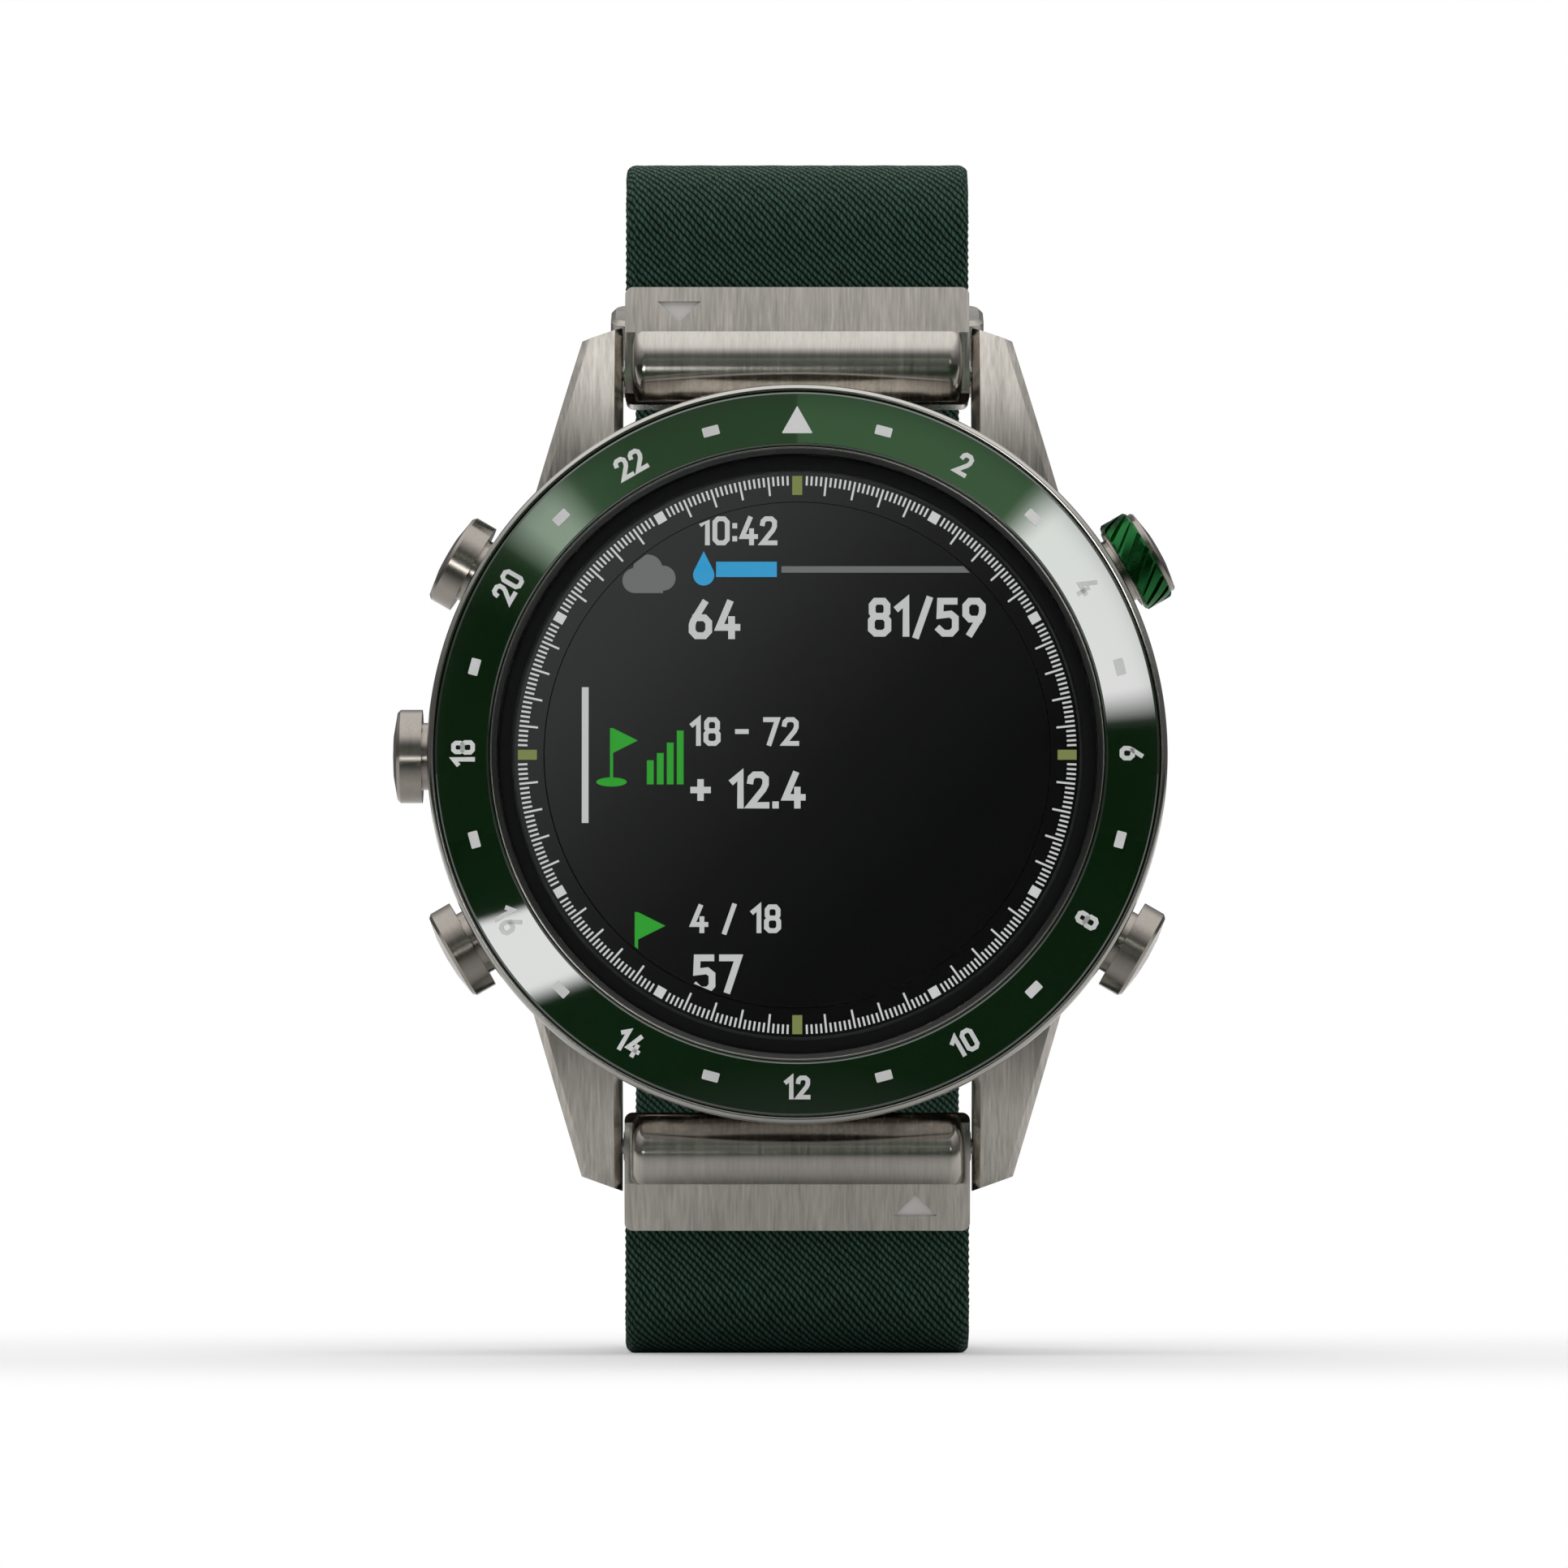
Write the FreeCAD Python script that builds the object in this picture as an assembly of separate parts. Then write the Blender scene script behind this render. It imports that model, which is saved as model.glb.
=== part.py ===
import FreeCAD, Part
import math
import os

# Golf watch on its closed strap, standing on the foot of the strap loop.
# X runs right seen from the front, Z up, and the dial faces -Y.
# Heights are measured from the dial's centre and depths from the bezel's front face,
# and place() turns both into the frame.

V = FreeCAD.Vector

# Where the dial stands in the frame
DIAL_HEIGHT = 37.3
FRONT_FACE_Y = -24.0

# Fits
SLIDING_FIT = 0.05
LOOSE_GAP = 0.25
PRESS_GAP = 0.02

# Bezel and its ceramic insert
BEZEL_R = 23.0
BEZEL_DEPTH = 2.7
BEZEL_INNER_R = 18.66
BEZEL_LIP_R = 19.05
BEZEL_STEP = 0.8
BEZEL_SEAT_THICK = 1.0
BEZEL_RIM_ROUND = 0.25
INSERT_R = 22.52
INSERT_THICK = 1.1
INSERT_FRONT = 0.1
INSERT_FALL = 0.3
INSERT_BEVEL = 0.15

# Crystal, minute ring and screen
CRYSTAL_FRONT = 0.75
CRYSTAL_THICK = 1.5
CRYSTAL_BEVEL = 0.15
CRYSTAL_PROUD = 0.1
GASKET_THICK = 0.25
GASKET_WIDTH = 0.6
MINUTE_RING_R = 17.8
MINUTE_RING_INNER_R = 15.8
MINUTE_RING_THICK = 0.5
MINUTE_RING_WALL = 0.2
MINUTE_RING_STEP = 0.15
SCREEN_THICK = 1.2

# Case
CASE_R = 22.6
CASE_BACK_R = 21.9
CASE_BACK_DEPTH = 11.5
CASE_BEND_DEPTH = 8.0
CASE_SHELF_THICK = 0.9
CAVITY_R = 19.3
CASE_FLAT = 21.7

# Lugs
LUG_GAP = 22.0
LUG_TIP = 27.1
LUG_TIP_WIDTH = 2.5
LUG_ROOT_WIDTH = 5.9
LUG_ROOT_HEIGHT = 14.5
LUG_ROOT_SUNK = 4.0
LUG_TIP_BEVEL = 0.9
LUG_FRONT_DEPTH = 3.7
LUG_BEND_HEIGHT = 20.5
LUG_BEND_FALL = 0.9
LUG_TIP_DEPTH = 7.6
LUG_BOTTOM_DEPTH = 12.9
LUG_HEEL_HEIGHT = 23.0
LUG_UNDER_HEIGHT = 17.5
LUG_UNDER_DEPTH = 11.6
LUG_HEEL_BEVEL = 0.3
LUG_FACET = 0.45
LUG_PIN_HEIGHT = 24.3
LUG_PIN_DEPTH = 9.6
LUG_PIN_R = 0.9
LUG_PIN_TIP_R = 0.5
LUG_PIN_TIP = 0.9

# Back cover and what it carries
BACK_R = 21.6
BACK_THICK = 1.1
BACK_DOME_R = 15.0
BACK_DOME_TOP_R = 11.5
BACK_DOME_RISE = 1.3
BACK_TOTAL_DEPTH = 14.7
BACK_RIM = 0.5
BACK_RIM_BEVEL = 0.6
WINDOW_LEDGE = 0.8
WINDOW_PROUD = 0.1
WINDOW_R = 6.0
BACK_GASKET_R = 19.6
BACK_GASKET_WIDTH = 0.5
BACK_SCREW_R = 0.5
BACK_SCREW_HEAD_R = 0.95
BACK_SCREW_HEAD = 0.6
BACK_SCREW_LENGTH = 3.0
BACK_SCREW_SLOT = (0.35, 0.3)
BACK_SCREW_SUNK = 0.05
BACK_SCREW_CIRCLE = 20.75
BACK_SCREW_ANGLES = (45, 135, 225, 315)
CONTACT_WELL = (7.4, 3.0, 0.9)
CONTACT_HEIGHT = -9.0
CONTACT_PITCH = 1.7
CONTACT_R = 0.45
CONTACT_COUNT = 4
CONTACT_PROUD = 0.35

# Inner parts
FRAME_R = 17.6
FRAME_FLOOR = 0.8
FRAME_WINDOW_R = 8.0
ANTENNA_THICK = 0.3
ANTENNA_WIDTH = 3.0
BOARD_R = 18.3
BOARD_DEPTH = 6.1
BOARD_THICK = 0.8
BATTERY_R = 14.6
BATTERY_THICK = 3.4
BATTERY_CHORD = 9.0
COIN_R = 3.5
COIN_HEIGHT = -13.6
COIN_SPREAD = 4.6
MOTOR_THICK = 2.7
BEEPER_THICK = 1.6
SENSOR_BOARD_R = 7.0
SENSOR_BOARD_THICK = 0.6
SHIELD_SIZE = (13.0, 9.0, 0.9)
LED_SIZE = 1.2
LED_CIRCLE = 3.2
LED_THICK = 0.5
PHOTO_CHIP = 2.4
LED_COUNT = 4

# Pushers, named by their clock angle
LIGHT_ANGLE = 300
UP_ANGLE = 270
DOWN_ANGLE = 240
BACK_ANGLE = 120
START_ANGLE = 60
PUSHER_DEPTH = 5.0
CAP_R = 2.92
CAP_INNER = 23.4
CAP_THICK = 1.55
CAP_DOME = 0.3
CAP_EDGE = 0.2
CAP_CROWN_SHARE = 0.45
CAP_CROWN_RISE_SHARE = 0.8
NECK_R = 2.1
NECK_INNER = 22.3
STEM_R = 1.0
STEM_END = 18.8
PUSHER_TRAVEL = 0.35
TUBE_R = 1.75
TUBE_INNER = 19.2
TUBE_OUTER = 21.2
SPRING_R = 1.7
SPRING_THICK = 0.15
START_RING_R = 3.0
START_RING_LENGTH = 1.87
START_RING_GROOVES = 18
START_RING_GROOVE_DEPTH = 0.22
START_RING_GROOVE_WIDTH = 0.3
START_RING_SLANT = 42
START_CAP_R = 2.75
START_CAP_THICK = 0.35
START_CAP_EDGE = 0.12
START_RING_EDGE = 0.14
START_COLLAR_LENGTH = 0.1
START_COLLAR_R = 2.57
START_HUB_R = 2.3
SWITCH_SIZE = (3.2, 1.1, 1.1)

# Strap
STRAP_WIDTH = 21.5
STRAP_THICK = 1.6
STRAP_BEAD_R = 1.2
STRAP_ROD_R = 0.35
STRAP_TOP = 37.9
STRAP_FOOT = -37.3
EXIT_SLOPE = 0.05
TAIL_OFFSET = 2.0
TAIL_TIP_R = 8.0

# Route of the strap behind the head
STRAP_LINE_STEP = 0.1
SLANT_DROP = 6.5
SLANT_HEIGHT = 15.0
LOWER_RISE = 7.4
LOWER_SLANT_HEIGHT = 10.4
LOWER_STRAIGHT = 0.9
TAIL_START = 1.0
TAIL_LENGTH = 22.0
UPPER_RADII = [4.5, 5.0, 16.0]
LOWER_RADII = [3.6, 7.0, 10.0, 8.0, 8.0, 18.0]

# Metal end pieces that clip on the lug pins
END_WIDTH = 21.6
END_CASE_SIDE = 22.2
END_STRAP_SIDE = 29.6
END_BAND_FRONT = 6.3
END_BAND_FALL = 0.9
END_BACK = 12.0
END_BEVEL = 0.5
END_CORNER_R = 0.5
CROWN_FRONT = 4.9
CROWN_WIDTH = 20.7
CROWN_START = 22.35
CROWN_TOP = 24.2
CROWN_END = 26.7
CROWN_SHOULDER = 5.85
CROWN_END_R = 0.85
MARK_HEIGHT = 28.0
MARK_PLACE = -7.4
MARK_SIZE = (2.7, 1.35)
MARK_DEEP = 0.2
BEAD_HEIGHT = 27.3
BEAD_DEPTH = 9.2
LATCH_WIDTH = 12.0
LATCH_THICK = 0.9
LATCH_LENGTH = 3.6
LATCH_START = 23.2
LATCH_TRAVEL = 2.1
LATCH_GRIP = 0.45
LATCH_RIBS = 3
LATCH_RIB_START = 1.4
LATCH_RIB_PITCH = 0.75
LATCH_RIB_WIDTH = 0.4
LATCH_SPRING_R = 0.35

# Buckle at the back of the loop
HEEL_BAR_R = 0.7
HEEL_BAR_HEIGHT = -1.0
HEEL_BAR_DEPTH = 50.4
HEEL_LOOP_R = 1.5
BUCKLE_SIDE_GAP = 0.75
BUCKLE_ARM = 2.0
BUCKLE_LENGTH = 10.6
BUCKLE_LIFT = 2.5
BUCKLE_THICK = 1.7
BUCKLE_STRAP_GAP = 0.85
BUCKLE_BAR_SUNK = 0.8
TANG_WIDTH = 2.2
TANG_THICK = 1.1
TANG_HOLE_LENGTH = 8.2
TANG_HOLE_DROP = 3.9
TANG_SIDE_GAP = 0.5
TANG_KNEE_DROP = 3.5
TANG_KNEE_R = 2.0
TANG_KNEE_SUNK = 1.2
TANG_TIP = 0.9
TANG_REST_GAP = 0.2
STRAP_HOLES = 3
STRAP_HOLE_START = 6.0
STRAP_HOLE_PITCH = 6.0
STRAP_HOLE_SIZE = (1.7, 2.8)

# Metal loop that holds the strap's tail
LOOP_LENGTH = 5.2
LOOP_WALL = 1.0
LOOP_SIDE = 1.4
LOOP_PLACE = 14.5
LOOP_CORNER_R = 1.6
LOOP_BEVEL = 0.3

# Cutters reach this far past the solid that they cut
CUT = 10.0


def place(height, depth, x=0.0):
    """A point from its height above the dial's centre and its depth behind the bezel's face."""
    return V(x, FRONT_FACE_Y + depth, DIAL_HEIGHT + height)


def turned(points):
    """A ring about the dial's axis from a section of (radius, depth) corners."""
    corners = [place(0, d, r) for r, d in points]
    face = Part.Face(Part.makePolygon(corners + corners[:1]))
    return face.revolve(place(0, 0), V(0, 1, 0), 360)


def ring(outer, inner, front, back):
    """A plain ring about the dial's axis."""
    return turned([(inner, front), (outer, front), (outer, back), (inner, back)])


def disc(radius, front, back, height=0.0, x=0.0):
    """A round plate square to the dial's axis."""
    return Part.makeCylinder(radius, back - front, place(height, front, x), V(0, 1, 0))


def block(width, tall, front, back, height=0.0, x=0.0):
    """A rectangular plate square to the dial's axis."""
    corner = place(height - tall / 2, front, x - width / 2)
    return Part.makeBox(width, back - front, tall, corner)


def across(points, width):
    """A prism along X, centred, from a section of (height, depth) corners."""
    corners = [place(h, d, -width / 2) for h, d in points]
    face = Part.Face(Part.makePolygon(corners + corners[:1]))
    return face.extrude(V(width, 0, 0))


def rod(radius, length, height, depth, x=0.0):
    """A bar along X, centred on x."""
    return Part.makeCylinder(radius, length, place(height, depth, x - length / 2), V(1, 0, 0))


def one(shape):
    """The single solid of a shape that should hold one."""
    shape = shape.removeSplitter()
    return shape.Solids[0] if len(shape.Solids) == 1 else shape


def group(shapes):
    """Separate solids kept together in one node."""
    solids = [solid for shape in shapes for solid in shape.Solids]
    return Part.makeCompound(solids)


def mirrored(shape):
    """The same form reflected to the lower side of the case."""
    return shape.mirror(place(0, 0), V(0, 0, 1))


def lower(shape):
    """The same piece turned half round the dial's axis, to the lower side."""
    return on_clock(shape, 180)


def on_clock(shape, angle):
    """A piece drawn at the top of the case, carried round to a clock angle."""
    turned_shape = shape.copy()
    turned_shape.rotate(place(0, 0), V(0, 1, 0), angle)
    return turned_shape


def radial_rod(radius, start, end):
    """A bar along the radius at the top of the case, at the pushers' depth."""
    return Part.makeCylinder(radius, end - start, place(start, PUSHER_DEPTH), V(0, 0, 1))


def band_face(points, radii, thick):
    """The side view of a band of even thickness that follows straight runs joined by arcs."""
    runs = []
    for a, b in zip(points, points[1:]):
        along = V(0, b[1] - a[1], b[0] - a[0])
        along.normalize()
        runs.append(along)
    corners = [place(h, d) for h, d in points]
    sides = {1: [], -1: []}
    for side in sides:
        half = side * thick / 2
        last = corners[0] + V(1, 0, 0).cross(runs[0]) * half
        for i, radius in enumerate(radii):
            before, after, corner = runs[i], runs[i + 1], corners[i + 1]
            turn = before.getAngle(after)
            left = V(1, 0, 0).dot(before.cross(after)) > 0
            reach = radius * math.tan(turn / 2)
            start = corner - before * reach
            end = corner + after * reach
            inward = V(1, 0, 0).cross(before) * (1 if left else -1)
            centre = start + inward * radius
            half_way = start + (end - start) * 0.5
            outward = half_way - centre
            outward.normalize()
            sway = radius - half * (1 if left else -1)
            a = start + V(1, 0, 0).cross(before) * half
            b = end + V(1, 0, 0).cross(after) * half
            sides[side].append(Part.LineSegment(last, a).toShape())
            sides[side].append(Part.Arc(a, centre + outward * sway, b).toShape())
            last = b
        finish = corners[-1] + V(1, 0, 0).cross(runs[-1]) * half
        sides[side].append(Part.LineSegment(last, finish).toShape())
    first_cap = Part.LineSegment(
        sides[1][0].Vertexes[0].Point, sides[-1][0].Vertexes[0].Point
    ).toShape()
    last_cap = Part.LineSegment(
        sides[1][-1].Vertexes[-1].Point, sides[-1][-1].Vertexes[-1].Point
    ).toShape()
    edges = sides[1] + sides[-1] + [first_cap, last_cap]
    return Part.Face(Part.Wire(Part.__sortEdges__(edges)))


def band(points, radii, thick, width):
    """A strap of even thickness, centred on the watch."""
    face = band_face(points, radii, thick)
    face.translate(V(-width / 2, 0, 0))
    return face.extrude(V(width, 0, 0))


# Depths that follow from the stack of parts
crystal_back = CRYSTAL_FRONT + CRYSTAL_THICK
shelf_front = crystal_back + GASKET_THICK
shelf_back = shelf_front + CASE_SHELF_THICK
crystal_r = BEZEL_INNER_R - SLIDING_FIT
shelf_r = MINUTE_RING_R + 2 * SLIDING_FIT
minute_front = crystal_back + SLIDING_FIT
screen_front = minute_front
screen_r = MINUTE_RING_INNER_R - SLIDING_FIT
frame_front = minute_front + MINUTE_RING_THICK
frame_back = screen_front + SCREEN_THICK + FRAME_FLOOR
insert_back = INSERT_FRONT + INSERT_FALL + INSERT_THICK
case_front = insert_back + BEZEL_SEAT_THICK
seat_r = CASE_R - BEZEL_STEP
back_inner = CASE_BACK_DEPTH
back_outer = back_inner + BACK_THICK
dome_back = back_outer + BACK_DOME_RISE
cap_outer = CAP_INNER + CAP_THICK
plain_pushers = {"light": LIGHT_ANGLE, "up": UP_ANGLE, "down": DOWN_ANGLE, "back": BACK_ANGLE}
all_angles = list(plain_pushers.values()) + [START_ANGLE]


def make_bezel_insert():
    """Ceramic ring with a falling front face and dark bevelled edges."""
    inner = BEZEL_LIP_R + SLIDING_FIT
    outer = INSERT_R
    fall = INSERT_FRONT + INSERT_FALL
    section = [
        (inner, INSERT_FRONT + INSERT_BEVEL),
        (inner + INSERT_BEVEL, INSERT_FRONT),
        (outer - INSERT_BEVEL, fall),
        (outer, fall + INSERT_BEVEL),
        (outer, insert_back),
        (inner, insert_back),
    ]
    return turned(section)


def make_bezel_ring():
    """Metal bezel with a channel for the insert, a polished rim and an inner chamfer."""
    groove_r = INSERT_R + SLIDING_FIT
    rim_front = INSERT_FRONT + INSERT_FALL + INSERT_BEVEL
    section = [
        (BEZEL_LIP_R, INSERT_FRONT + INSERT_BEVEL),
        (BEZEL_LIP_R, insert_back),
        (groove_r, insert_back),
        (groove_r, rim_front),
        (BEZEL_R - BEZEL_RIM_ROUND, rim_front),
        (BEZEL_R, rim_front + 2 * BEZEL_RIM_ROUND),
        (BEZEL_R, BEZEL_DEPTH - BEZEL_RIM_ROUND),
        (BEZEL_R - BEZEL_RIM_ROUND, BEZEL_DEPTH),
        (seat_r, BEZEL_DEPTH),
        (seat_r, case_front),
        (BEZEL_INNER_R, case_front),
        (BEZEL_INNER_R, CRYSTAL_FRONT - CRYSTAL_PROUD),
    ]
    return turned(section)


def make_crystal():
    """Flat sapphire glass with a bevelled edge."""
    section = [
        (0, CRYSTAL_FRONT),
        (crystal_r - CRYSTAL_BEVEL, CRYSTAL_FRONT),
        (crystal_r, CRYSTAL_FRONT + CRYSTAL_BEVEL),
        (crystal_r, crystal_back),
        (0, crystal_back),
    ]
    return turned(section)


def make_minute_ring():
    """Flange under the glass that carries the minute track, with a raised outer wall."""
    track_front = minute_front + MINUTE_RING_STEP
    section = [
        (MINUTE_RING_INNER_R, track_front),
        (MINUTE_RING_R - 2 * MINUTE_RING_WALL, track_front),
        (MINUTE_RING_R - MINUTE_RING_WALL, minute_front),
        (MINUTE_RING_R, minute_front),
        (MINUTE_RING_R, frame_front),
        (MINUTE_RING_INNER_R, frame_front),
    ]
    return turned(section)


def make_display_frame():
    """Plastic carrier that holds the screen against the minute ring."""
    pocket_back = screen_front + SCREEN_THICK
    frame = ring(FRAME_R, FRAME_WINDOW_R, frame_front, frame_back)
    return frame.cut(disc(screen_r + SLIDING_FIT, frame_front, pocket_back))


def make_lug():
    """The upper right lug: its outline from the front met with its outline from the side."""
    inner = LUG_GAP / 2
    root = LUG_ROOT_HEIGHT - LUG_ROOT_SUNK
    outline = [
        (inner, root),
        (inner, LUG_TIP),
        (inner + LUG_TIP_WIDTH, LUG_TIP - LUG_TIP_BEVEL),
        (inner + LUG_ROOT_WIDTH, LUG_ROOT_HEIGHT),
        (inner + LUG_ROOT_WIDTH, root),
    ]
    corners = [place(h, 0, x) for x, h in outline]
    plan = Part.Face(Part.makePolygon(corners + corners[:1])).extrude(V(0, LUG_BOTTOM_DEPTH + CUT, 0))
    front_root = place(root, LUG_FRONT_DEPTH)
    front_bend = place(LUG_BEND_HEIGHT, LUG_FRONT_DEPTH + LUG_BEND_FALL)
    front_tip = place(LUG_TIP, LUG_TIP_DEPTH)
    back_tip = place(LUG_TIP, LUG_BOTTOM_DEPTH - LUG_HEEL_BEVEL)
    heel = place(LUG_HEEL_HEIGHT, LUG_BOTTOM_DEPTH)
    under = place(LUG_UNDER_HEIGHT, LUG_UNDER_DEPTH)
    back_root = place(root, CASE_BACK_DEPTH)
    edges = [Part.Arc(front_root, front_bend, front_tip).toShape()]
    edges += Part.makePolygon([front_tip, back_tip, heel, under, back_root, front_root]).Edges
    side = Part.Face(Part.Wire(edges)).extrude(V(LUG_GAP, 0, 0))
    lug = plan.common(side)
    front_edges = [
        edge
        for edge in lug.Edges
        if edge.BoundBox.XMin > inner - LUG_FACET / 2
        and edge.BoundBox.YMax < FRONT_FACE_Y + LUG_TIP_DEPTH + LUG_FACET / 2
        and edge.BoundBox.ZLength > LUG_ROOT_WIDTH
    ]
    return lug.makeChamfer(LUG_FACET, front_edges)


def pusher_cut():
    """What each pusher takes out of the case wall: its tube's bore and its neck's recess."""
    neck = radial_rod(NECK_R + SLIDING_FIT, TUBE_OUTER, CASE_R + CUT)
    bore = radial_rod(TUBE_R + PRESS_GAP, CAVITY_R - BEZEL_STEP, TUBE_OUTER)
    return neck.fuse(bore)


def make_case_body():
    """Case barrel, its shelf for the glass, its lugs and every hole in its wall."""
    glass_bore = BEZEL_INNER_R - CRYSTAL_PROUD
    top = case_front + SLIDING_FIT
    rim = BEZEL_DEPTH + SLIDING_FIT
    section = [
        (shelf_r, shelf_front),
        (glass_bore, shelf_front),
        (glass_bore, top),
        (seat_r - SLIDING_FIT, top),
        (seat_r - SLIDING_FIT, rim),
        (CASE_R, rim),
        (CASE_R, CASE_BEND_DEPTH),
        (CASE_BACK_R, CASE_BACK_DEPTH),
        (CAVITY_R, CASE_BACK_DEPTH),
        (CAVITY_R, shelf_back),
        (shelf_r, shelf_back),
    ]
    barrel = turned(section)
    lug = make_lug()
    lugs = [lug, lug.mirror(place(0, 0), V(1, 0, 0))]
    lugs += [mirrored(piece) for piece in lugs]
    core = disc(CAVITY_R + BEZEL_STEP / 2, 0, LUG_BOTTOM_DEPTH + CUT)
    for piece in lugs:
        barrel = barrel.fuse(piece.cut(core))
    hole = LUG_PIN_TIP + 2 * SLIDING_FIT
    reach = LUG_GAP + 2 * hole
    for side in (1, -1):
        gap = block(LUG_GAP, CUT, rim, LUG_BOTTOM_DEPTH + CUT, side * (CASE_FLAT + CUT / 2))
        pin_hole = rod(LUG_PIN_TIP_R + SLIDING_FIT, reach, side * LUG_PIN_HEIGHT, LUG_PIN_DEPTH)
        barrel = barrel.cut(gap).cut(pin_hole)
    for angle in all_angles:
        barrel = barrel.cut(on_clock(pusher_cut(), angle))
    barrel = barrel.cut(disc(BACK_R + SLIDING_FIT, CASE_BACK_DEPTH, LUG_BOTTOM_DEPTH + CUT))
    groove_front = CASE_BACK_DEPTH - BACK_GASKET_WIDTH
    groove = ring(BACK_GASKET_R + BACK_GASKET_WIDTH, BACK_GASKET_R, groove_front, CASE_BACK_DEPTH)
    barrel = barrel.cut(groove)
    thread = CASE_BACK_DEPTH - BACK_SCREW_LENGTH + BACK_THICK - BACK_SCREW_HEAD
    for angle in BACK_SCREW_ANGLES:
        barrel = barrel.cut(on_clock(disc(BACK_SCREW_R, thread, CASE_BACK_DEPTH, BACK_SCREW_CIRCLE), angle))
    return one(barrel)


def contact_places():
    """Where the charging contacts stand, from side to side."""
    middle = (CONTACT_COUNT - 1) / 2
    return [(i - middle) * CONTACT_PITCH for i in range(CONTACT_COUNT)]


def make_case_back():
    """Domed cover with a seat for the sensor glass, a charging well and four counterbores."""
    section = [
        (0, back_inner),
        (BACK_R, back_inner),
        (BACK_R, back_inner + BACK_RIM),
        (BACK_R - BACK_RIM_BEVEL, back_outer),
        (BACK_DOME_R, back_outer),
        (BACK_DOME_TOP_R, dome_back),
        (0, dome_back),
    ]
    cover = turned(section)
    cover = cover.cut(disc(WINDOW_R + SLIDING_FIT, back_outer, dome_back))
    cover = cover.cut(disc(WINDOW_R - WINDOW_LEDGE, back_inner, dome_back))
    well_width, well_tall, well_depth = CONTACT_WELL
    well = block(well_width, well_tall, dome_back - well_depth, dome_back, CONTACT_HEIGHT)
    cover = cover.cut(well)
    for x in contact_places():
        cover = cover.cut(disc(CONTACT_R, back_inner, dome_back, CONTACT_HEIGHT, x))
    head_front = back_outer - BACK_SCREW_HEAD
    head = disc(BACK_SCREW_HEAD_R + SLIDING_FIT, head_front, back_outer + CUT, BACK_SCREW_CIRCLE)
    shank = disc(BACK_SCREW_R + SLIDING_FIT, back_inner, back_outer, BACK_SCREW_CIRCLE)
    for angle in BACK_SCREW_ANGLES:
        cover = cover.cut(on_clock(head.fuse(shank), angle))
    return one(cover)


def make_back_screws():
    """Four cover screws with slotted heads, set just under the cover's face."""
    slot_width, slot_deep = BACK_SCREW_SLOT
    top = back_outer - BACK_SCREW_SUNK
    head_front = back_outer - BACK_SCREW_HEAD
    head = disc(BACK_SCREW_HEAD_R, head_front, top, BACK_SCREW_CIRCLE)
    shank = disc(BACK_SCREW_R - PRESS_GAP, back_outer - BACK_SCREW_LENGTH, head_front, BACK_SCREW_CIRCLE)
    slot = block(3 * BACK_SCREW_HEAD_R, slot_width, top - slot_deep, top + CUT, BACK_SCREW_CIRCLE)
    screw = head.fuse(shank).cut(slot)
    return group([on_clock(screw, angle) for angle in BACK_SCREW_ANGLES])


def make_sensor_window():
    """Round glass over the pulse sensor, gently domed."""
    rise = BACK_TOTAL_DEPTH - dome_back - WINDOW_PROUD
    dome_r = (WINDOW_R ** 2 + rise ** 2) / (2 * rise)
    ball = Part.makeSphere(dome_r, place(0, BACK_TOTAL_DEPTH - dome_r))
    return disc(WINDOW_R, back_outer, BACK_TOTAL_DEPTH + CUT).common(ball)


def make_charge_contacts():
    """Gold pins standing in the charging well."""
    top = dome_back - CONTACT_WELL[2] + CONTACT_PROUD
    r = CONTACT_R - PRESS_GAP
    return group([disc(r, back_inner, top, CONTACT_HEIGHT, x) for x in contact_places()])


def make_battery():
    """Flat cell with one side cut off to leave room for the motor and the beeper."""
    front = BOARD_DEPTH + BOARD_THICK
    cell = disc(BATTERY_R, front, front + BATTERY_THICK)
    trim_height = -BATTERY_CHORD - BATTERY_R / 2
    trim = block(2 * BATTERY_R, BATTERY_R, front - BATTERY_THICK, front + 2 * BATTERY_THICK, trim_height)
    return cell.cut(trim)


def make_sensor_leds():
    """Sensor chips on their small board behind the glass."""
    back = back_inner + LED_THICK
    chips = [block(PHOTO_CHIP, PHOTO_CHIP, back_inner, back)]
    led = block(LED_SIZE, LED_SIZE, back_inner, back, LED_CIRCLE)
    step = 360 / LED_COUNT
    chips += [on_clock(led, step * (i + 0.5)) for i in range(LED_COUNT)]
    return group(chips)


def make_pusher_tubes():
    """Guide tubes pressed into the case wall."""
    tube = radial_rod(TUBE_R, TUBE_INNER, TUBE_OUTER - PRESS_GAP)
    tube = tube.cut(radial_rod(STEM_R + SLIDING_FIT, TUBE_INNER - TUBE_R, TUBE_OUTER + TUBE_R))
    return group([on_clock(tube, angle) for angle in all_angles])


def make_side_switches():
    """Switches on the edge of the board, one behind each pusher."""
    wide, deep, tall = SWITCH_SIZE
    outer = STEM_END - PUSHER_TRAVEL - SLIDING_FIT
    body = block(wide, tall, BOARD_DEPTH - deep, BOARD_DEPTH, outer - tall / 2)
    return group([on_clock(body, angle) for angle in all_angles])


def domed(radius, base, top, dome, edge):
    """A cap along the radius with bevelled edges and a low domed end."""
    corners = [
        V(0, 0, base),
        V(radius, 0, base),
        V(radius, 0, top - edge),
        V(radius - edge, 0, top),
        V(radius * CAP_CROWN_SHARE, 0, top + dome * CAP_CROWN_RISE_SHARE),
        V(0, 0, top + dome),
    ]
    face = Part.Face(Part.makePolygon(corners + corners[:1]))
    cap = face.revolve(V(0, 0, 0), V(0, 0, 1), 360)
    cap.translate(place(0, PUSHER_DEPTH))
    return cap


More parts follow.
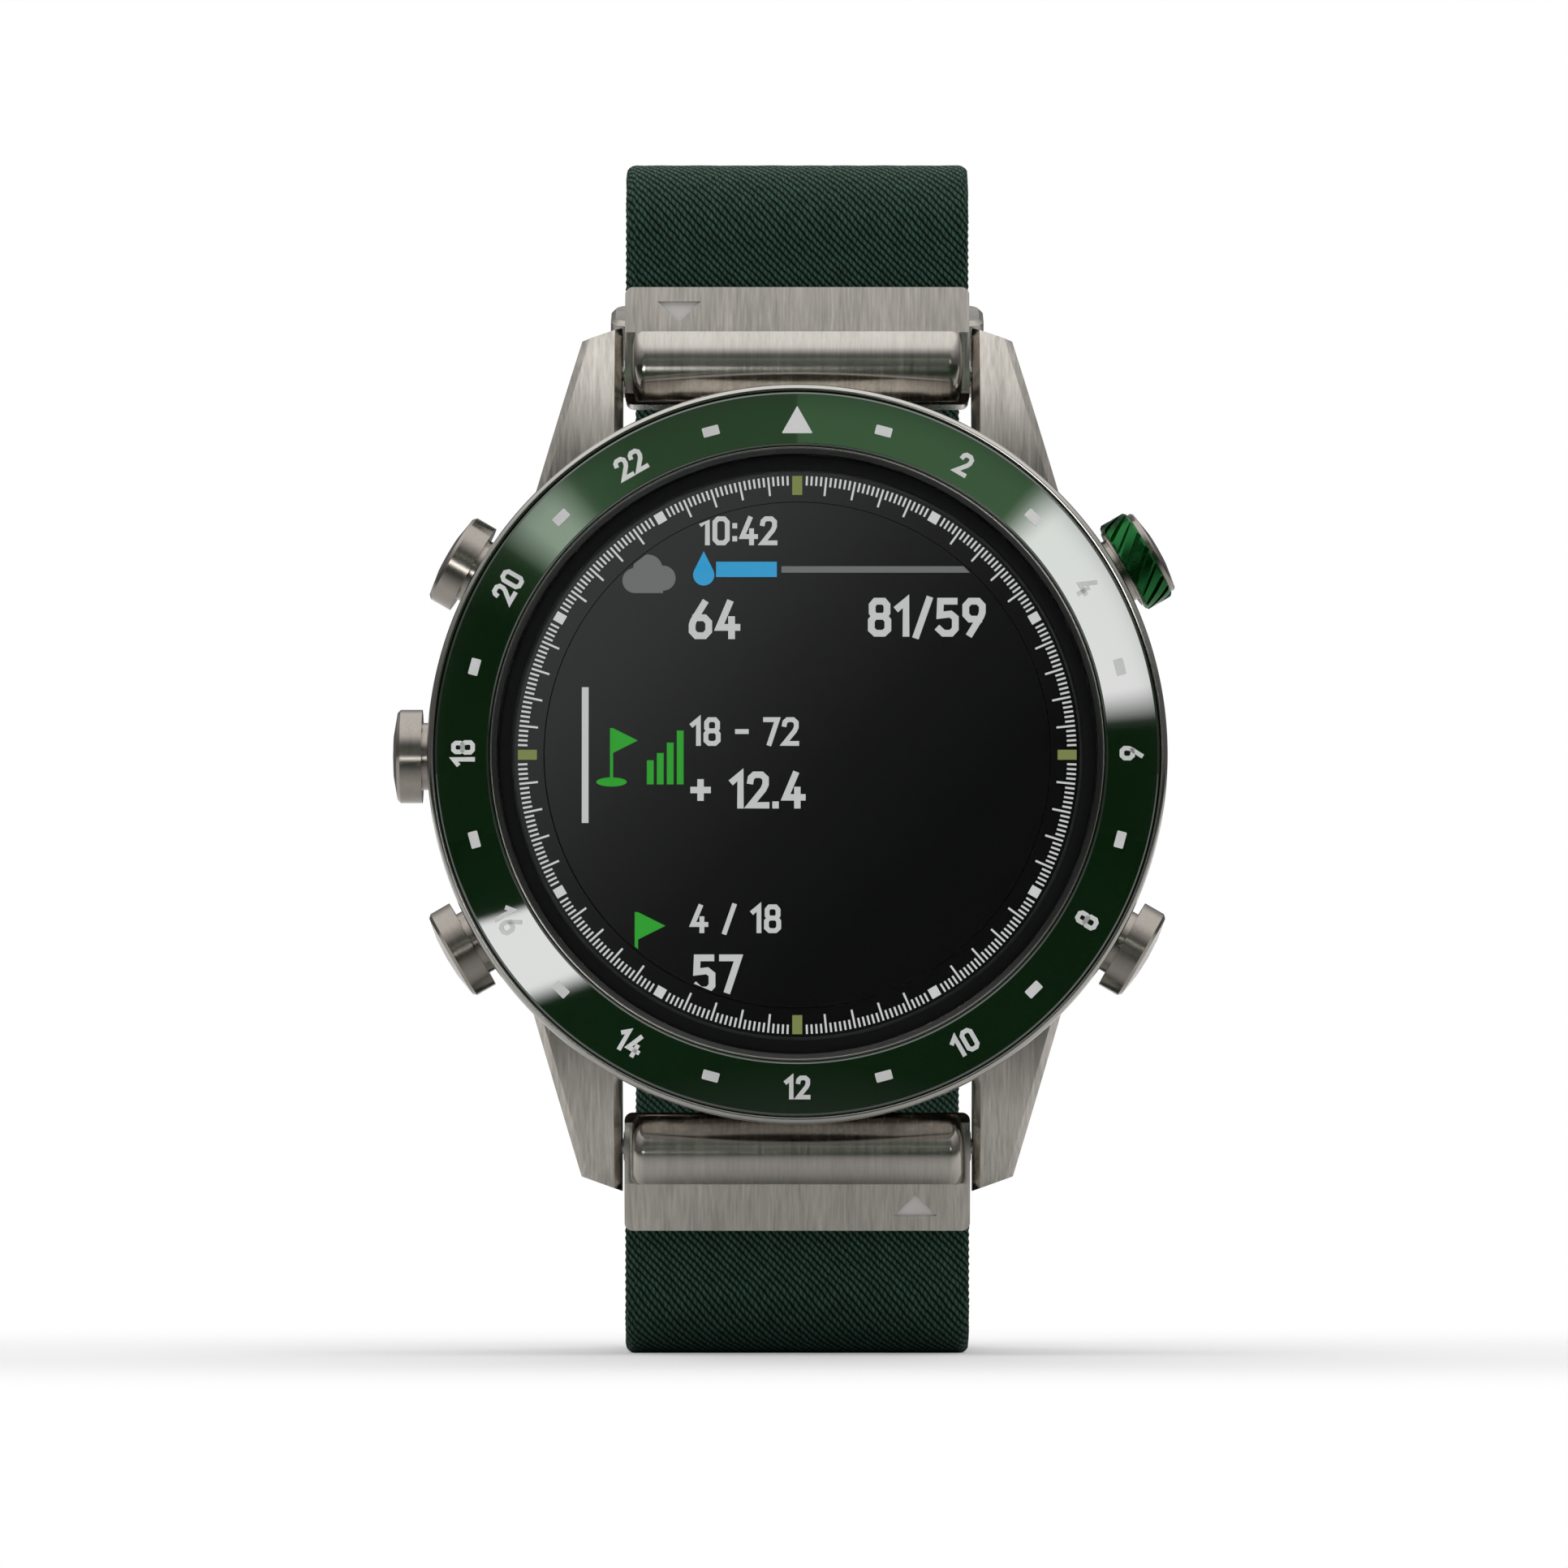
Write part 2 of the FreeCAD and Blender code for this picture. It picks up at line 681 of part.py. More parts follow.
def plunger():
    """The neck and stem behind a pusher's cap."""
    neck = radial_rod(NECK_R, NECK_INNER, CAP_INNER)
    return neck.fuse(radial_rod(STEM_R, STEM_END, NECK_INNER))


def make_pusher(angle):
    """A plain pusher: domed cap, neck and stem in one piece."""
    cap = domed(CAP_R, CAP_INNER, cap_outer, CAP_DOME, CAP_EDGE)
    return on_clock(one(cap.fuse(plunger())), angle)


def make_start_core():
    """The start pusher's metal core: collar, hub, domed end cap and stem."""
    ring_inner = CAP_INNER + START_COLLAR_LENGTH
    ring_outer = ring_inner + START_RING_LENGTH
    cap = domed(START_CAP_R, ring_outer, ring_outer + START_CAP_THICK, CAP_DOME, START_CAP_EDGE)
    hub = radial_rod(START_HUB_R, ring_inner, ring_outer)
    collar = radial_rod(START_COLLAR_R, CAP_INNER, ring_inner)
    core = cap.fuse([hub, collar, plunger()])
    return on_clock(one(core), START_ANGLE)


def make_start_ring():
    """The start pusher's coloured ring, cut with slanting grooves all round."""
    start = CAP_INNER + START_COLLAR_LENGTH + PRESS_GAP
    length = START_RING_LENGTH - 2 * PRESS_GAP
    bore = START_HUB_R + PRESS_GAP
    edge = START_RING_EDGE
    corners = [
        V(bore, 0, 0),
        V(START_RING_R - edge, 0, 0),
        V(START_RING_R, 0, edge),
        V(START_RING_R, 0, length - edge),
        V(START_RING_R - edge, 0, length),
        V(bore, 0, length),
    ]
    body = Part.Face(Part.makePolygon(corners + corners[:1])).revolve(V(0, 0, 0), V(0, 0, 1), 360)
    wide = START_RING_GROOVE_WIDTH
    low = START_RING_R - START_RING_GROOVE_DEPTH
    cutter = Part.makeBox(START_RING_R, wide, 3 * length, V(low, -wide / 2, -1.5 * length))
    cutter.rotate(V(0, 0, 0), V(1, 0, 0), START_RING_SLANT)
    cutter.translate(V(0, 0, length / 2))
    for i in range(START_RING_GROOVES):
        groove = cutter.copy()
        groove.rotate(V(0, 0, 0), V(0, 0, 1), 360 / START_RING_GROOVES * i)
        body = body.cut(groove)
    body.translate(place(start, PUSHER_DEPTH))
    return on_clock(one(body), START_ANGLE)


def make_pusher_spring(angle):
    """Conical disc spring under a pusher's neck."""
    top = NECK_INNER - PRESS_GAP
    base = TUBE_OUTER + PUSHER_TRAVEL + SLIDING_FIT
    inner = STEM_R + SLIDING_FIT
    corners = [
        V(inner, 0, top - SPRING_THICK),
        V(inner, 0, top),
        V(SPRING_R, 0, base + SPRING_THICK),
        V(SPRING_R, 0, base),
    ]
    face = Part.Face(Part.makePolygon(corners + corners[:1]))
    spring = face.revolve(V(0, 0, 0), V(0, 0, 1), 360)
    spring.translate(place(0, PUSHER_DEPTH))
    return on_clock(spring, angle)


def make_lug_pin():
    """Bar between the lugs with a thinner tip at each end."""
    body = rod(LUG_PIN_R, LUG_GAP - 4 * SLIDING_FIT, LUG_PIN_HEIGHT, LUG_PIN_DEPTH)
    tips = rod(LUG_PIN_TIP_R, LUG_GAP + 2 * LUG_PIN_TIP, LUG_PIN_HEIGHT, LUG_PIN_DEPTH)
    return one(body.fuse(tips))


def make_crown():
    """Raised rounded bar along the front of an end piece, with rounded ends."""
    start = place(CROWN_START, END_BAND_FRONT + END_BAND_FALL, -CROWN_WIDTH / 2)
    shoulder = place(CROWN_START, CROWN_SHOULDER + 0.4, -CROWN_WIDTH / 2)
    top = place(CROWN_TOP, CROWN_FRONT, -CROWN_WIDTH / 2)
    foot = place(CROWN_END, CROWN_SHOULDER, -CROWN_WIDTH / 2)
    end = place(CROWN_END, END_BAND_FRONT + END_BAND_FALL, -CROWN_WIDTH / 2)
    edges = [Part.LineSegment(start, shoulder).toShape(), Part.Arc(shoulder, top, foot).toShape()]
    edges += Part.makePolygon([foot, end, start]).Edges
    crown = Part.Face(Part.Wire(edges)).extrude(V(CROWN_WIDTH, 0, 0))
    ends = [
        edge
        for edge in crown.Edges
        if edge.BoundBox.XLength < CROWN_END_R and edge.Curve.TypeId == "Part::GeomCircle"
    ]
    return crown.makeFillet(CROWN_END_R, ends)


def make_end_piece():
    """Upper end piece: sloping band, rounded crown, pin hook, strap slot and latch pocket."""
    band_back = END_BAND_FRONT + END_BAND_FALL
    points = [
        (END_CASE_SIDE, END_BACK - END_BEVEL),
        (END_CASE_SIDE, band_back),
        (CROWN_START + END_BEVEL, END_BAND_FRONT),
        (CROWN_END, END_BAND_FRONT),
        (END_STRAP_SIDE, band_back),
        (END_STRAP_SIDE, END_BACK - 2 * END_BEVEL),
        (END_STRAP_SIDE - END_BEVEL, END_BACK),
        (END_CASE_SIDE + END_BEVEL, END_BACK),
    ]
    body = across(points, END_WIDTH)
    corners = [
        edge
        for edge in body.Edges
        if edge.BoundBox.XLength < 0.1
        and edge.BoundBox.ZLength < 0.1
        and edge.BoundBox.YLength > CROWN_WIDTH / END_WIDTH
    ]
    body = body.makeFillet(END_CORNER_R, corners)
    body = body.fuse(make_crown())
    pin_r = LUG_PIN_R + SLIDING_FIT
    body = body.cut(rod(pin_r, 2 * END_WIDTH, LUG_PIN_HEIGHT, LUG_PIN_DEPTH))
    mouth_depth = END_BACK + CUT
    body = body.cut(block(2 * END_WIDTH, 2 * pin_r, LUG_PIN_DEPTH, mouth_depth, LUG_PIN_HEIGHT))
    bead_r = STRAP_BEAD_R + LOOSE_GAP
    body = body.cut(rod(bead_r, 2 * END_WIDTH, BEAD_HEIGHT, BEAD_DEPTH))
    slot = STRAP_THICK + 2 * LOOSE_GAP
    body = body.cut(band([(BEAD_HEIGHT, BEAD_DEPTH), UPPER_PATH[1]], [], slot, 2 * END_WIDTH))
    pocket_length = LATCH_LENGTH + LATCH_TRAVEL + 2 * SLIDING_FIT
    pocket_middle = LATCH_START - SLIDING_FIT + pocket_length / 2
    pocket_width = LATCH_WIDTH + 2 * SLIDING_FIT
    body = body.cut(block(pocket_width, pocket_length, END_BACK - LATCH_THICK, mouth_depth, pocket_middle))
    return one(body.cut(direction_mark()))


def direction_mark():
    """The shallow triangle sunk in the band, its point towards the case."""
    wide, tall = MARK_SIZE
    slope = END_BAND_FALL / (END_STRAP_SIDE - CROWN_END)
    corners = []
    for x, h in ((-wide / 2, tall / 2), (wide / 2, tall / 2), (0, -tall / 2)):
        height = MARK_HEIGHT + h
        floor = END_BAND_FRONT + slope * (height - CROWN_END) + MARK_DEEP
        corners.append(place(height, floor, MARK_PLACE + x))
    return Part.Face(Part.makePolygon(corners + corners[:1])).extrude(V(0, -CUT, 0))


def make_latch():
    """Sliding plate that closes the pin hook, with a ribbed finger grip."""
    back = END_BACK - SLIDING_FIT
    front = END_BACK - LATCH_THICK + SLIDING_FIT
    plate = block(LATCH_WIDTH, LATCH_LENGTH, front, back, LATCH_START + LATCH_LENGTH / 2)
    for i in range(LATCH_RIBS):
        low = LATCH_START + LATCH_RIB_START + LATCH_RIB_PITCH * i
        high = low + LATCH_RIB_WIDTH
        slope = LATCH_RIB_WIDTH / 4
        rib = [(low, back), (high, back), (high - slope, back + LATCH_GRIP), (low + slope, back + LATCH_GRIP)]
        plate = plate.fuse(across(rib, LATCH_WIDTH * 0.6))
    return one(plate)


def make_latch_spring():
    """Pair of short return springs between the latch and the end of its pocket."""
    start = LATCH_START + LATCH_LENGTH + SLIDING_FIT
    length = LATCH_TRAVEL - SLIDING_FIT
    depth = END_BACK - LATCH_THICK / 2
    springs = []
    for x in (-LATCH_WIDTH / 3, LATCH_WIDTH / 3):
        outer = Part.makeCylinder(LATCH_SPRING_R, length, place(start, depth, x), V(0, 0, 1))
        inner = Part.makeCylinder(LATCH_SPRING_R / 2, length, place(start, depth, x), V(0, 0, 1))
        springs.append(outer.cut(inner))
    return group(springs)


# Routes of the two straps, as (height, depth) points with a corner radius at each inner point
top_line = STRAP_TOP - STRAP_THICK / 2
foot_line = STRAP_FOOT + STRAP_THICK / 2
top_corner = BEAD_DEPTH + EXIT_SLOPE * (top_line - BEAD_HEIGHT)
foot_corner = BEAD_DEPTH + EXIT_SLOPE * (-foot_line - BEAD_HEIGHT)
strap_line = HEEL_BAR_DEPTH + HEEL_LOOP_R - STRAP_THICK / 2 - STRAP_LINE_STEP
tail_line = strap_line + TAIL_OFFSET
buckle_end = (HEEL_BAR_HEIGHT - BUCKLE_LENGTH, HEEL_BAR_DEPTH + BUCKLE_LIFT)
lower_line = buckle_end[1] - (BUCKLE_THICK + STRAP_THICK) / 2 - BUCKLE_STRAP_GAP
buckle_width = STRAP_WIDTH + 2 * (BUCKLE_SIDE_GAP + BUCKLE_ARM)
UPPER_PATH = [
    (BEAD_HEIGHT, BEAD_DEPTH),
    (top_line, top_corner),
    (top_line, strap_line - SLANT_DROP),
    (SLANT_HEIGHT, strap_line),
    (HEEL_BAR_HEIGHT, strap_line),
]
slant = math.atan2(SLANT_DROP, top_line - SLANT_HEIGHT)
tail_bend = (SLANT_HEIGHT + TAIL_OFFSET * math.tan(slant / 2), tail_line)
tail_end = (tail_bend[0] + TAIL_LENGTH * math.cos(slant), tail_line - TAIL_LENGTH * math.sin(slant))
LOWER_PATH = [
    (-BEAD_HEIGHT, BEAD_DEPTH),
    (foot_line, foot_corner),
    (foot_line, lower_line - LOWER_RISE),
    (buckle_end[0] - LOWER_SLANT_HEIGHT, lower_line),
    (buckle_end[0] - LOWER_STRAIGHT, lower_line),
    (HEEL_BAR_HEIGHT - TAIL_START, tail_line),
    tail_bend,
    tail_end,
]


def slot_through(width, tall, height):
    """A slot through the strap layers behind the head."""
    return block(width, tall, lower_line - 2 * STRAP_THICK, tail_line + 2 * STRAP_THICK, height)


def make_upper_strap():
    """Strap half that carries the buckle, sewn round the rod and round the heel bar."""
    strap = band(UPPER_PATH, UPPER_RADII, STRAP_THICK, STRAP_WIDTH)
    strap = strap.fuse(rod(STRAP_BEAD_R, STRAP_WIDTH, *UPPER_PATH[0]))
    strap = strap.fuse(rod(HEEL_LOOP_R, STRAP_WIDTH, HEEL_BAR_HEIGHT, HEEL_BAR_DEPTH))
    strap = strap.cut(rod(STRAP_ROD_R + PRESS_GAP, 2 * STRAP_WIDTH, *UPPER_PATH[0]))
    strap = strap.cut(rod(HEEL_BAR_R + SLIDING_FIT, 2 * STRAP_WIDTH, HEEL_BAR_HEIGHT, HEEL_BAR_DEPTH))
    notch_height = HEEL_BAR_HEIGHT + HEEL_LOOP_R + 2 * LOOSE_GAP
    notch = slot_through(TANG_WIDTH + 4 * LOOSE_GAP, 2 * (HEEL_LOOP_R + LOOSE_GAP), HEEL_BAR_HEIGHT)
    notch = notch.fuse(slot_through(TANG_WIDTH + 4 * LOOSE_GAP, 2 * LOOSE_GAP, notch_height))
    return one(strap.cut(notch))


def make_lower_strap():
    """Strap half with the holes, through the buckle and on to its rounded tail."""
    strap = band(LOWER_PATH, LOWER_RADII, STRAP_THICK, STRAP_WIDTH)
    strap = strap.fuse(rod(STRAP_BEAD_R, STRAP_WIDTH, *LOWER_PATH[0]))
    strap = strap.cut(rod(STRAP_ROD_R + PRESS_GAP, 2 * STRAP_WIDTH, *LOWER_PATH[0]))
    tang_hole_width = TANG_WIDTH + 2 * TANG_SIDE_GAP
    strap = strap.cut(slot_through(tang_hole_width, TANG_HOLE_LENGTH, HEEL_BAR_HEIGHT - TANG_HOLE_DROP))
    hole_wide, hole_tall = STRAP_HOLE_SIZE
    for i in range(STRAP_HOLES):
        height = HEEL_BAR_HEIGHT + STRAP_HOLE_START + i * STRAP_HOLE_PITCH
        strap = strap.cut(slot_through(hole_wide, hole_tall, height))
    return one(strap.cut(tail_waste()))


def tail_waste():
    """What is cut from the tail's end to leave its rounded corners."""
    centre_height = tail_end[0] - TAIL_TIP_R * math.cos(slant)
    front = tail_end[1] - 2 * STRAP_THICK
    back = tail_line + STRAP_THICK
    spread = STRAP_WIDTH / 2 - TAIL_TIP_R
    waste = block(2 * STRAP_WIDTH, 2 * TAIL_TIP_R, front, back, centre_height + TAIL_TIP_R)
    for x in (-spread, spread):
        waste = waste.cut(disc(TAIL_TIP_R, front, back, centre_height, x))
    return waste.cut(block(2 * spread, 2 * TAIL_TIP_R, front, back, centre_height))


def make_strap_rod():
    """Thin rod sewn in the strap's bead so that it can't pull out of the end piece."""
    return rod(STRAP_ROD_R, STRAP_WIDTH - 0.4, *UPPER_PATH[0])


def make_heel_bar():
    """Bar that joins the buckle to the strap."""
    return rod(HEEL_BAR_R, buckle_width - 2 * BUCKLE_BAR_SUNK, HEEL_BAR_HEIGHT, HEEL_BAR_DEPTH)


def make_buckle_frame():
    """Open frame round the strap with a rounded end bar, bored for the heel bar."""
    heel = (HEEL_BAR_HEIGHT, HEEL_BAR_DEPTH)
    frame = band([heel, buckle_end], [], BUCKLE_THICK, buckle_width)
    frame = frame.fuse(rod(HEEL_LOOP_R - STRAP_LINE_STEP, buckle_width, *heel))
    frame = frame.fuse(rod(BUCKLE_THICK / 2, buckle_width, *buckle_end))
    gap = buckle_width - 2 * BUCKLE_ARM
    tall = BUCKLE_LENGTH + CUT
    low = buckle_end[0] + BUCKLE_THICK / 2 + PRESS_GAP
    opening = block(gap, tall, lower_line - CUT, tail_line + CUT, low + tall / 2)
    bore = rod(HEEL_BAR_R + SLIDING_FIT, buckle_width - 2 * BUCKLE_BAR_SUNK + SLIDING_FIT, *heel)
    return one(frame.cut(opening).cut(bore))


def make_tang():
    """Buckle tongue: a sleeve on the heel bar and a bar that rests on the frame."""
    heel = (HEEL_BAR_HEIGHT, HEEL_BAR_DEPTH)
    rest = buckle_end[1] + (BUCKLE_THICK + TANG_THICK) / 2 + TANG_REST_GAP
    knee = (HEEL_BAR_HEIGHT - TANG_KNEE_DROP, rest - TANG_KNEE_SUNK)
    tip = (buckle_end[0] - TANG_TIP, rest)
    tongue = band([heel, knee, tip], [TANG_KNEE_R], TANG_THICK, TANG_WIDTH)
    tongue = tongue.fuse(rod(HEEL_LOOP_R, TANG_WIDTH, *heel))
    return one(tongue.cut(rod(HEEL_BAR_R + SLIDING_FIT, 2 * TANG_WIDTH, *heel)))


def make_keeper_loop():
    """Metal loop round both strap layers on the slanting part of the back."""
    stack = TAIL_OFFSET + STRAP_THICK + 2 * LOOSE_GAP
    high = stack + 2 * LOOP_WALL
    inner_width = STRAP_WIDTH + 2 * LOOSE_GAP
    outer_width = inner_width + 2 * LOOP_SIDE
    outer = Part.makeBox(outer_width, high, LOOP_LENGTH, V(-outer_width / 2, -high / 2, -LOOP_LENGTH / 2))
    corners = [edge for edge in outer.Edges if edge.BoundBox.ZLength > LOOP_LENGTH / 2]
    outer = outer.makeFillet(LOOP_CORNER_R, corners)
    inner = Part.makeBox(inner_width, stack, 2 * LOOP_LENGTH, V(-inner_width / 2, -stack / 2, -LOOP_LENGTH))
    loop = outer.cut(inner)
    ends = []
    for edge in loop.Edges:
        at_end = abs(abs(edge.CenterOfMass.z) - LOOP_LENGTH / 2) < PRESS_GAP
        if at_end and edge.BoundBox.XLength > inner_width / 2:
            ends.append(edge)
    loop = loop.makeChamfer(LOOP_BEVEL, ends)
    loop.rotate(V(0, 0, 0), V(1, 0, 0), math.degrees(slant))
    height = tail_bend[0] + LOOP_PLACE * math.cos(slant) - TAIL_OFFSET / 2 * math.sin(slant)
    depth = tail_line - LOOP_PLACE * math.sin(slant) - TAIL_OFFSET / 2 * math.cos(slant)
    loop.translate(place(height, depth))
    return loop


def main():
    """Build every piece and write its file."""
    os.makedirs("parts", exist_ok=True)
    board_back = BOARD_DEPTH + BOARD_THICK
    end_piece = make_end_piece()
    latch = make_latch()
    latch_spring = make_latch_spring()
    lug_pin = make_lug_pin()
    strap_rod = make_strap_rod()
    gasket_r = crystal_r - PRESS_GAP
    shield_w, shield_t, shield_d = SHIELD_SIZE
    nodes = {
        "bezel_insert": make_bezel_insert(),
        "bezel_ring": make_bezel_ring(),
        "crystal": make_crystal(),
        "crystal_gasket": ring(gasket_r, gasket_r - GASKET_WIDTH, crystal_back, shelf_front),
        "minute_ring": make_minute_ring(),
        "screen": disc(screen_r, screen_front, screen_front + SCREEN_THICK),
        "display_frame": make_display_frame(),
        "gps_antenna": ring(FRAME_R, FRAME_R - ANTENNA_WIDTH, frame_back, frame_back + ANTENNA_THICK),
        "main_board": disc(BOARD_R, BOARD_DEPTH, board_back),
        "shield_can": block(shield_w, shield_t, BOARD_DEPTH - shield_d, BOARD_DEPTH),
        "battery": make_battery(),
        "vibration_motor": disc(COIN_R, board_back, board_back + MOTOR_THICK, COIN_HEIGHT, -COIN_SPREAD),
        "beeper": disc(COIN_R, board_back, board_back + BEEPER_THICK, COIN_HEIGHT, COIN_SPREAD),
        "side_switches": make_side_switches(),
        "case_body": make_case_body(),
        "pusher_tubes": make_pusher_tubes(),
        "back_gasket": ring(
            BACK_GASKET_R + BACK_GASKET_WIDTH - PRESS_GAP,
            BACK_GASKET_R + PRESS_GAP,
            CASE_BACK_DEPTH - BACK_GASKET_WIDTH + PRESS_GAP,
            CASE_BACK_DEPTH,
        ),
        "case_back": make_case_back(),
        "back_screws": make_back_screws(),
        "sensor_window": make_sensor_window(),
        "sensor_board": disc(SENSOR_BOARD_R, back_inner - SENSOR_BOARD_THICK, back_inner),
        "sensor_chips": make_sensor_leds(),
        "charge_contacts": make_charge_contacts(),
        "start_pusher_core": make_start_core(),
        "start_pusher_ring": make_start_ring(),
        "start_pusher_spring": make_pusher_spring(START_ANGLE),
        "upper_lug_pin": lug_pin,
        "lower_lug_pin": lower(lug_pin),
        "upper_end_piece": end_piece,
        "lower_end_piece": lower(end_piece),
        "upper_latch": latch,
        "lower_latch": lower(latch),
        "upper_latch_springs": latch_spring,
        "lower_latch_springs": lower(latch_spring),
        "upper_strap": make_upper_strap(),
        "lower_strap": make_lower_strap(),
        "upper_strap_rod": strap_rod,
        "lower_strap_rod": lower(strap_rod),
        "buckle_bar": make_heel_bar(),
        "buckle_frame": make_buckle_frame(),
        "buckle_tang": make_tang(),
        "keeper_loop": make_keeper_loop(),
    }
    for name, angle in plain_pushers.items():
        nodes[f"{name}_pusher"] = make_pusher(angle)
        nodes[f"{name}_pusher_spring"] = make_pusher_spring(angle)
    for name, shape in nodes.items():
        shape.exportStep(f"parts/{name}.step")
        box = shape.BoundBox
        size = f"{box.XLength:.2f} x {box.YLength:.2f} x {box.ZLength:.2f}"
        print(f"{name:22s} solids {len(shape.Solids)} valid {shape.isValid()} volume {shape.Volume:.2f} {size}")


main()
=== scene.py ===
import logging
import math
from dataclasses import dataclass, field
from enum import Enum
from typing import Callable, Iterable, Sequence

import bmesh
import bpy
from mathutils import Matrix, Vector


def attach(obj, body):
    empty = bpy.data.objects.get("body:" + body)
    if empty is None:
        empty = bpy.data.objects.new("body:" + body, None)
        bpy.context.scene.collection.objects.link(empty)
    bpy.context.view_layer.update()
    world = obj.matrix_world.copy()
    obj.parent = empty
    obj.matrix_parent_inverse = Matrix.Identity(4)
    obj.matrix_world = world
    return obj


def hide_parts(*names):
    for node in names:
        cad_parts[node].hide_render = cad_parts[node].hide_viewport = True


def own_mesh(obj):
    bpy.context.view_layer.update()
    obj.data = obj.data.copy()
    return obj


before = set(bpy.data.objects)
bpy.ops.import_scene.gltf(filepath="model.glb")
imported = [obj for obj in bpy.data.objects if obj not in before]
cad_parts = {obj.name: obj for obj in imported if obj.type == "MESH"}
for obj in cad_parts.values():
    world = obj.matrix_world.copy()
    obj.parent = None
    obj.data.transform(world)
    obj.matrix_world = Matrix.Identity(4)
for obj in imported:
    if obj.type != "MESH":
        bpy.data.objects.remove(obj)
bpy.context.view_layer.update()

LOG = logging.getLogger("golf_watch")

MM = 0.001
FRONT_Y = -24.0
DIAL_Z = 37.3

Socket = bpy.types.NodeSocket
Triple = tuple[float, float, float]
Colour = Triple
Points = Sequence[tuple[float, float]]
Mesh = bmesh.types.BMesh


def at(x: float, height: float, depth: float) -> Vector:
    """A point in metres from millimetres.

    Args:
        x: distance to the right of the dial's centre.
        height: height above the dial's centre.
        depth: depth behind the bezel's face.

    Returns:
        The point in the watch's own frame.
    """
    return Vector((x, FRONT_Y + depth, DIAL_Z + height)) * MM


class Brush(Enum):
    """Noise scales that set which way the brushing runs on a metal surface."""

    UPRIGHT = (6500.0, 1400.0, 260.0)
    ACROSS = (260.0, 2600.0, 6500.0)
    DEEP = (6500.0, 260.0, 6500.0)
    ROUND_DIAL = (0.0, 0.0, 0.0)


class Graph:
    """Adds and joins the nodes of one material or world."""

    def __init__(self, owner: bpy.types.ID, output: str = "OutputMaterial") -> None:
        """Empties the owner's node tree and gives it a fresh output.

        Args:
            owner: the material or world.
            output: the kind of its output node.
        """
        owner.use_nodes = True
        self.owner = owner
        self.tree = owner.node_tree
        self.tree.nodes.clear()
        self.output = self.add(output)

    def add(self, kind: str, inputs: dict | None = None, **attributes: object) -> bpy.types.Node:
        """Adds a node.

        Args:
            kind: its type name without the ShaderNode prefix.
            inputs: what its inputs take, by name or number: a socket is joined, anything else is set.
            attributes: values of the node's own attributes.

        Returns:
            The new node.
        """
        node = self.tree.nodes.new("ShaderNode" + kind)
        for key, value in attributes.items():
            setattr(node, key, value)
        for key, value in (inputs or {}).items():
            if isinstance(value, Socket):
                self.tree.links.new(value, node.inputs[key])
            else:
                node.inputs[key].default_value = value
        return node

    def surface(self, shader: bpy.types.Node) -> None:
        """Takes a shader as the owner's look."""
        self.tree.links.new(shader.outputs[0], self.output.inputs["Surface"])

    def place(self) -> Socket:
        """Object coordinates in metres."""
        return self.add("TexCoord").outputs["Object"]

    def split(self, source: Socket) -> list[Socket]:
        """The three parts of a vector."""
        return self.add("SeparateXYZ", {0: source}).outputs[:]

    def math(self, operation: str, first: Socket | float, second: Socket | float = 0.0) -> Socket:
        """The result of a math node."""
        return self.add("Math", {0: first, 1: second}, operation=operation).outputs[0]

    def plus(self, first: Socket | float, second: Socket | float) -> Socket:
        """The sum of two values."""
        return self.math("ADD", first, second)

    def less(self, first: Socket | float, second: Socket | float) -> Socket:
        """The first value less the second."""
        return self.math("SUBTRACT", first, second)

    def times(self, first: Socket | float, second: Socket | float) -> Socket:
        """The product of two values."""
        return self.math("MULTIPLY", first, second)

    def over(self, first: Socket | float, second: Socket | float) -> Socket:
        """The first value divided by the second."""
        return self.math("DIVIDE", first, second)

    def reach(self, first: Socket, second: Socket) -> Socket:
        """The distance from the centre of a point with two coordinates."""
        return self.math("SQRT", self.plus(self.times(first, first), self.times(second, second)))

    def noise(self, place: Socket, scale: float, detail: float = 2.0) -> Socket:
        """A noise over a place."""
        return self.add("TexNoise", {"Vector": place, "Scale": scale, "Detail": detail}).outputs[0]

    def scaled(self, colour: Socket, share: Socket | float) -> Socket:
        """A colour made brighter or darker by a share."""
        return self.add("VectorMath", {0: colour, "Scale": share}, operation="SCALE").outputs[0]

    def ramp(self, source: Socket, stops: Iterable[tuple[float, Sequence[float]]]) -> Socket:
        """A colour ramp over a value.

        Args:
            source: the value that drives it.
            stops: pairs of position and colour.

        Returns:
            The colour's socket.
        """
        node = self.add("ValToRGB", {0: source})
        band = node.color_ramp
        stops = list(stops)
        while len(band.elements) < len(stops):
            band.elements.new(0.5)
        for element, (place, colour) in zip(band.elements, stops):
            element.position = place
            element.color = (*colour, 1.0)
        return node.outputs[0]

    def span(
        self,
        source: Socket,
        low: float,
        high: float,
        to: tuple[float, float] = (0.0, 1.0),
        kind: str = "LINEAR",
    ) -> Socket:
        """Maps one range of values to another.

        Args:
            source: the value.
            low: where the first range starts.
            high: where it ends.
            to: the second range.
            kind: how the values between the ends run.

        Returns:
            The mapped value's socket.
        """
        ends = {"Value": source, "From Min": low, "From Max": high, "To Min": to[0], "To Max": to[1]}
        return self.add("MapRange", ends, interpolation_type=kind).outputs["Result"]

    def step(self, source: Socket, low: float, high: float) -> Socket:
        """A soft step from 0 to 1 between two values."""
        return self.span(source, low, high, kind="SMOOTHSTEP")

    def blend(self, share: Socket, first: object, second: object) -> Socket:
        """Mixes two colours by a share."""
        return self.add("Mix", {"Factor": share, "A": first, "B": second}, data_type="RGBA").outputs["Result"]

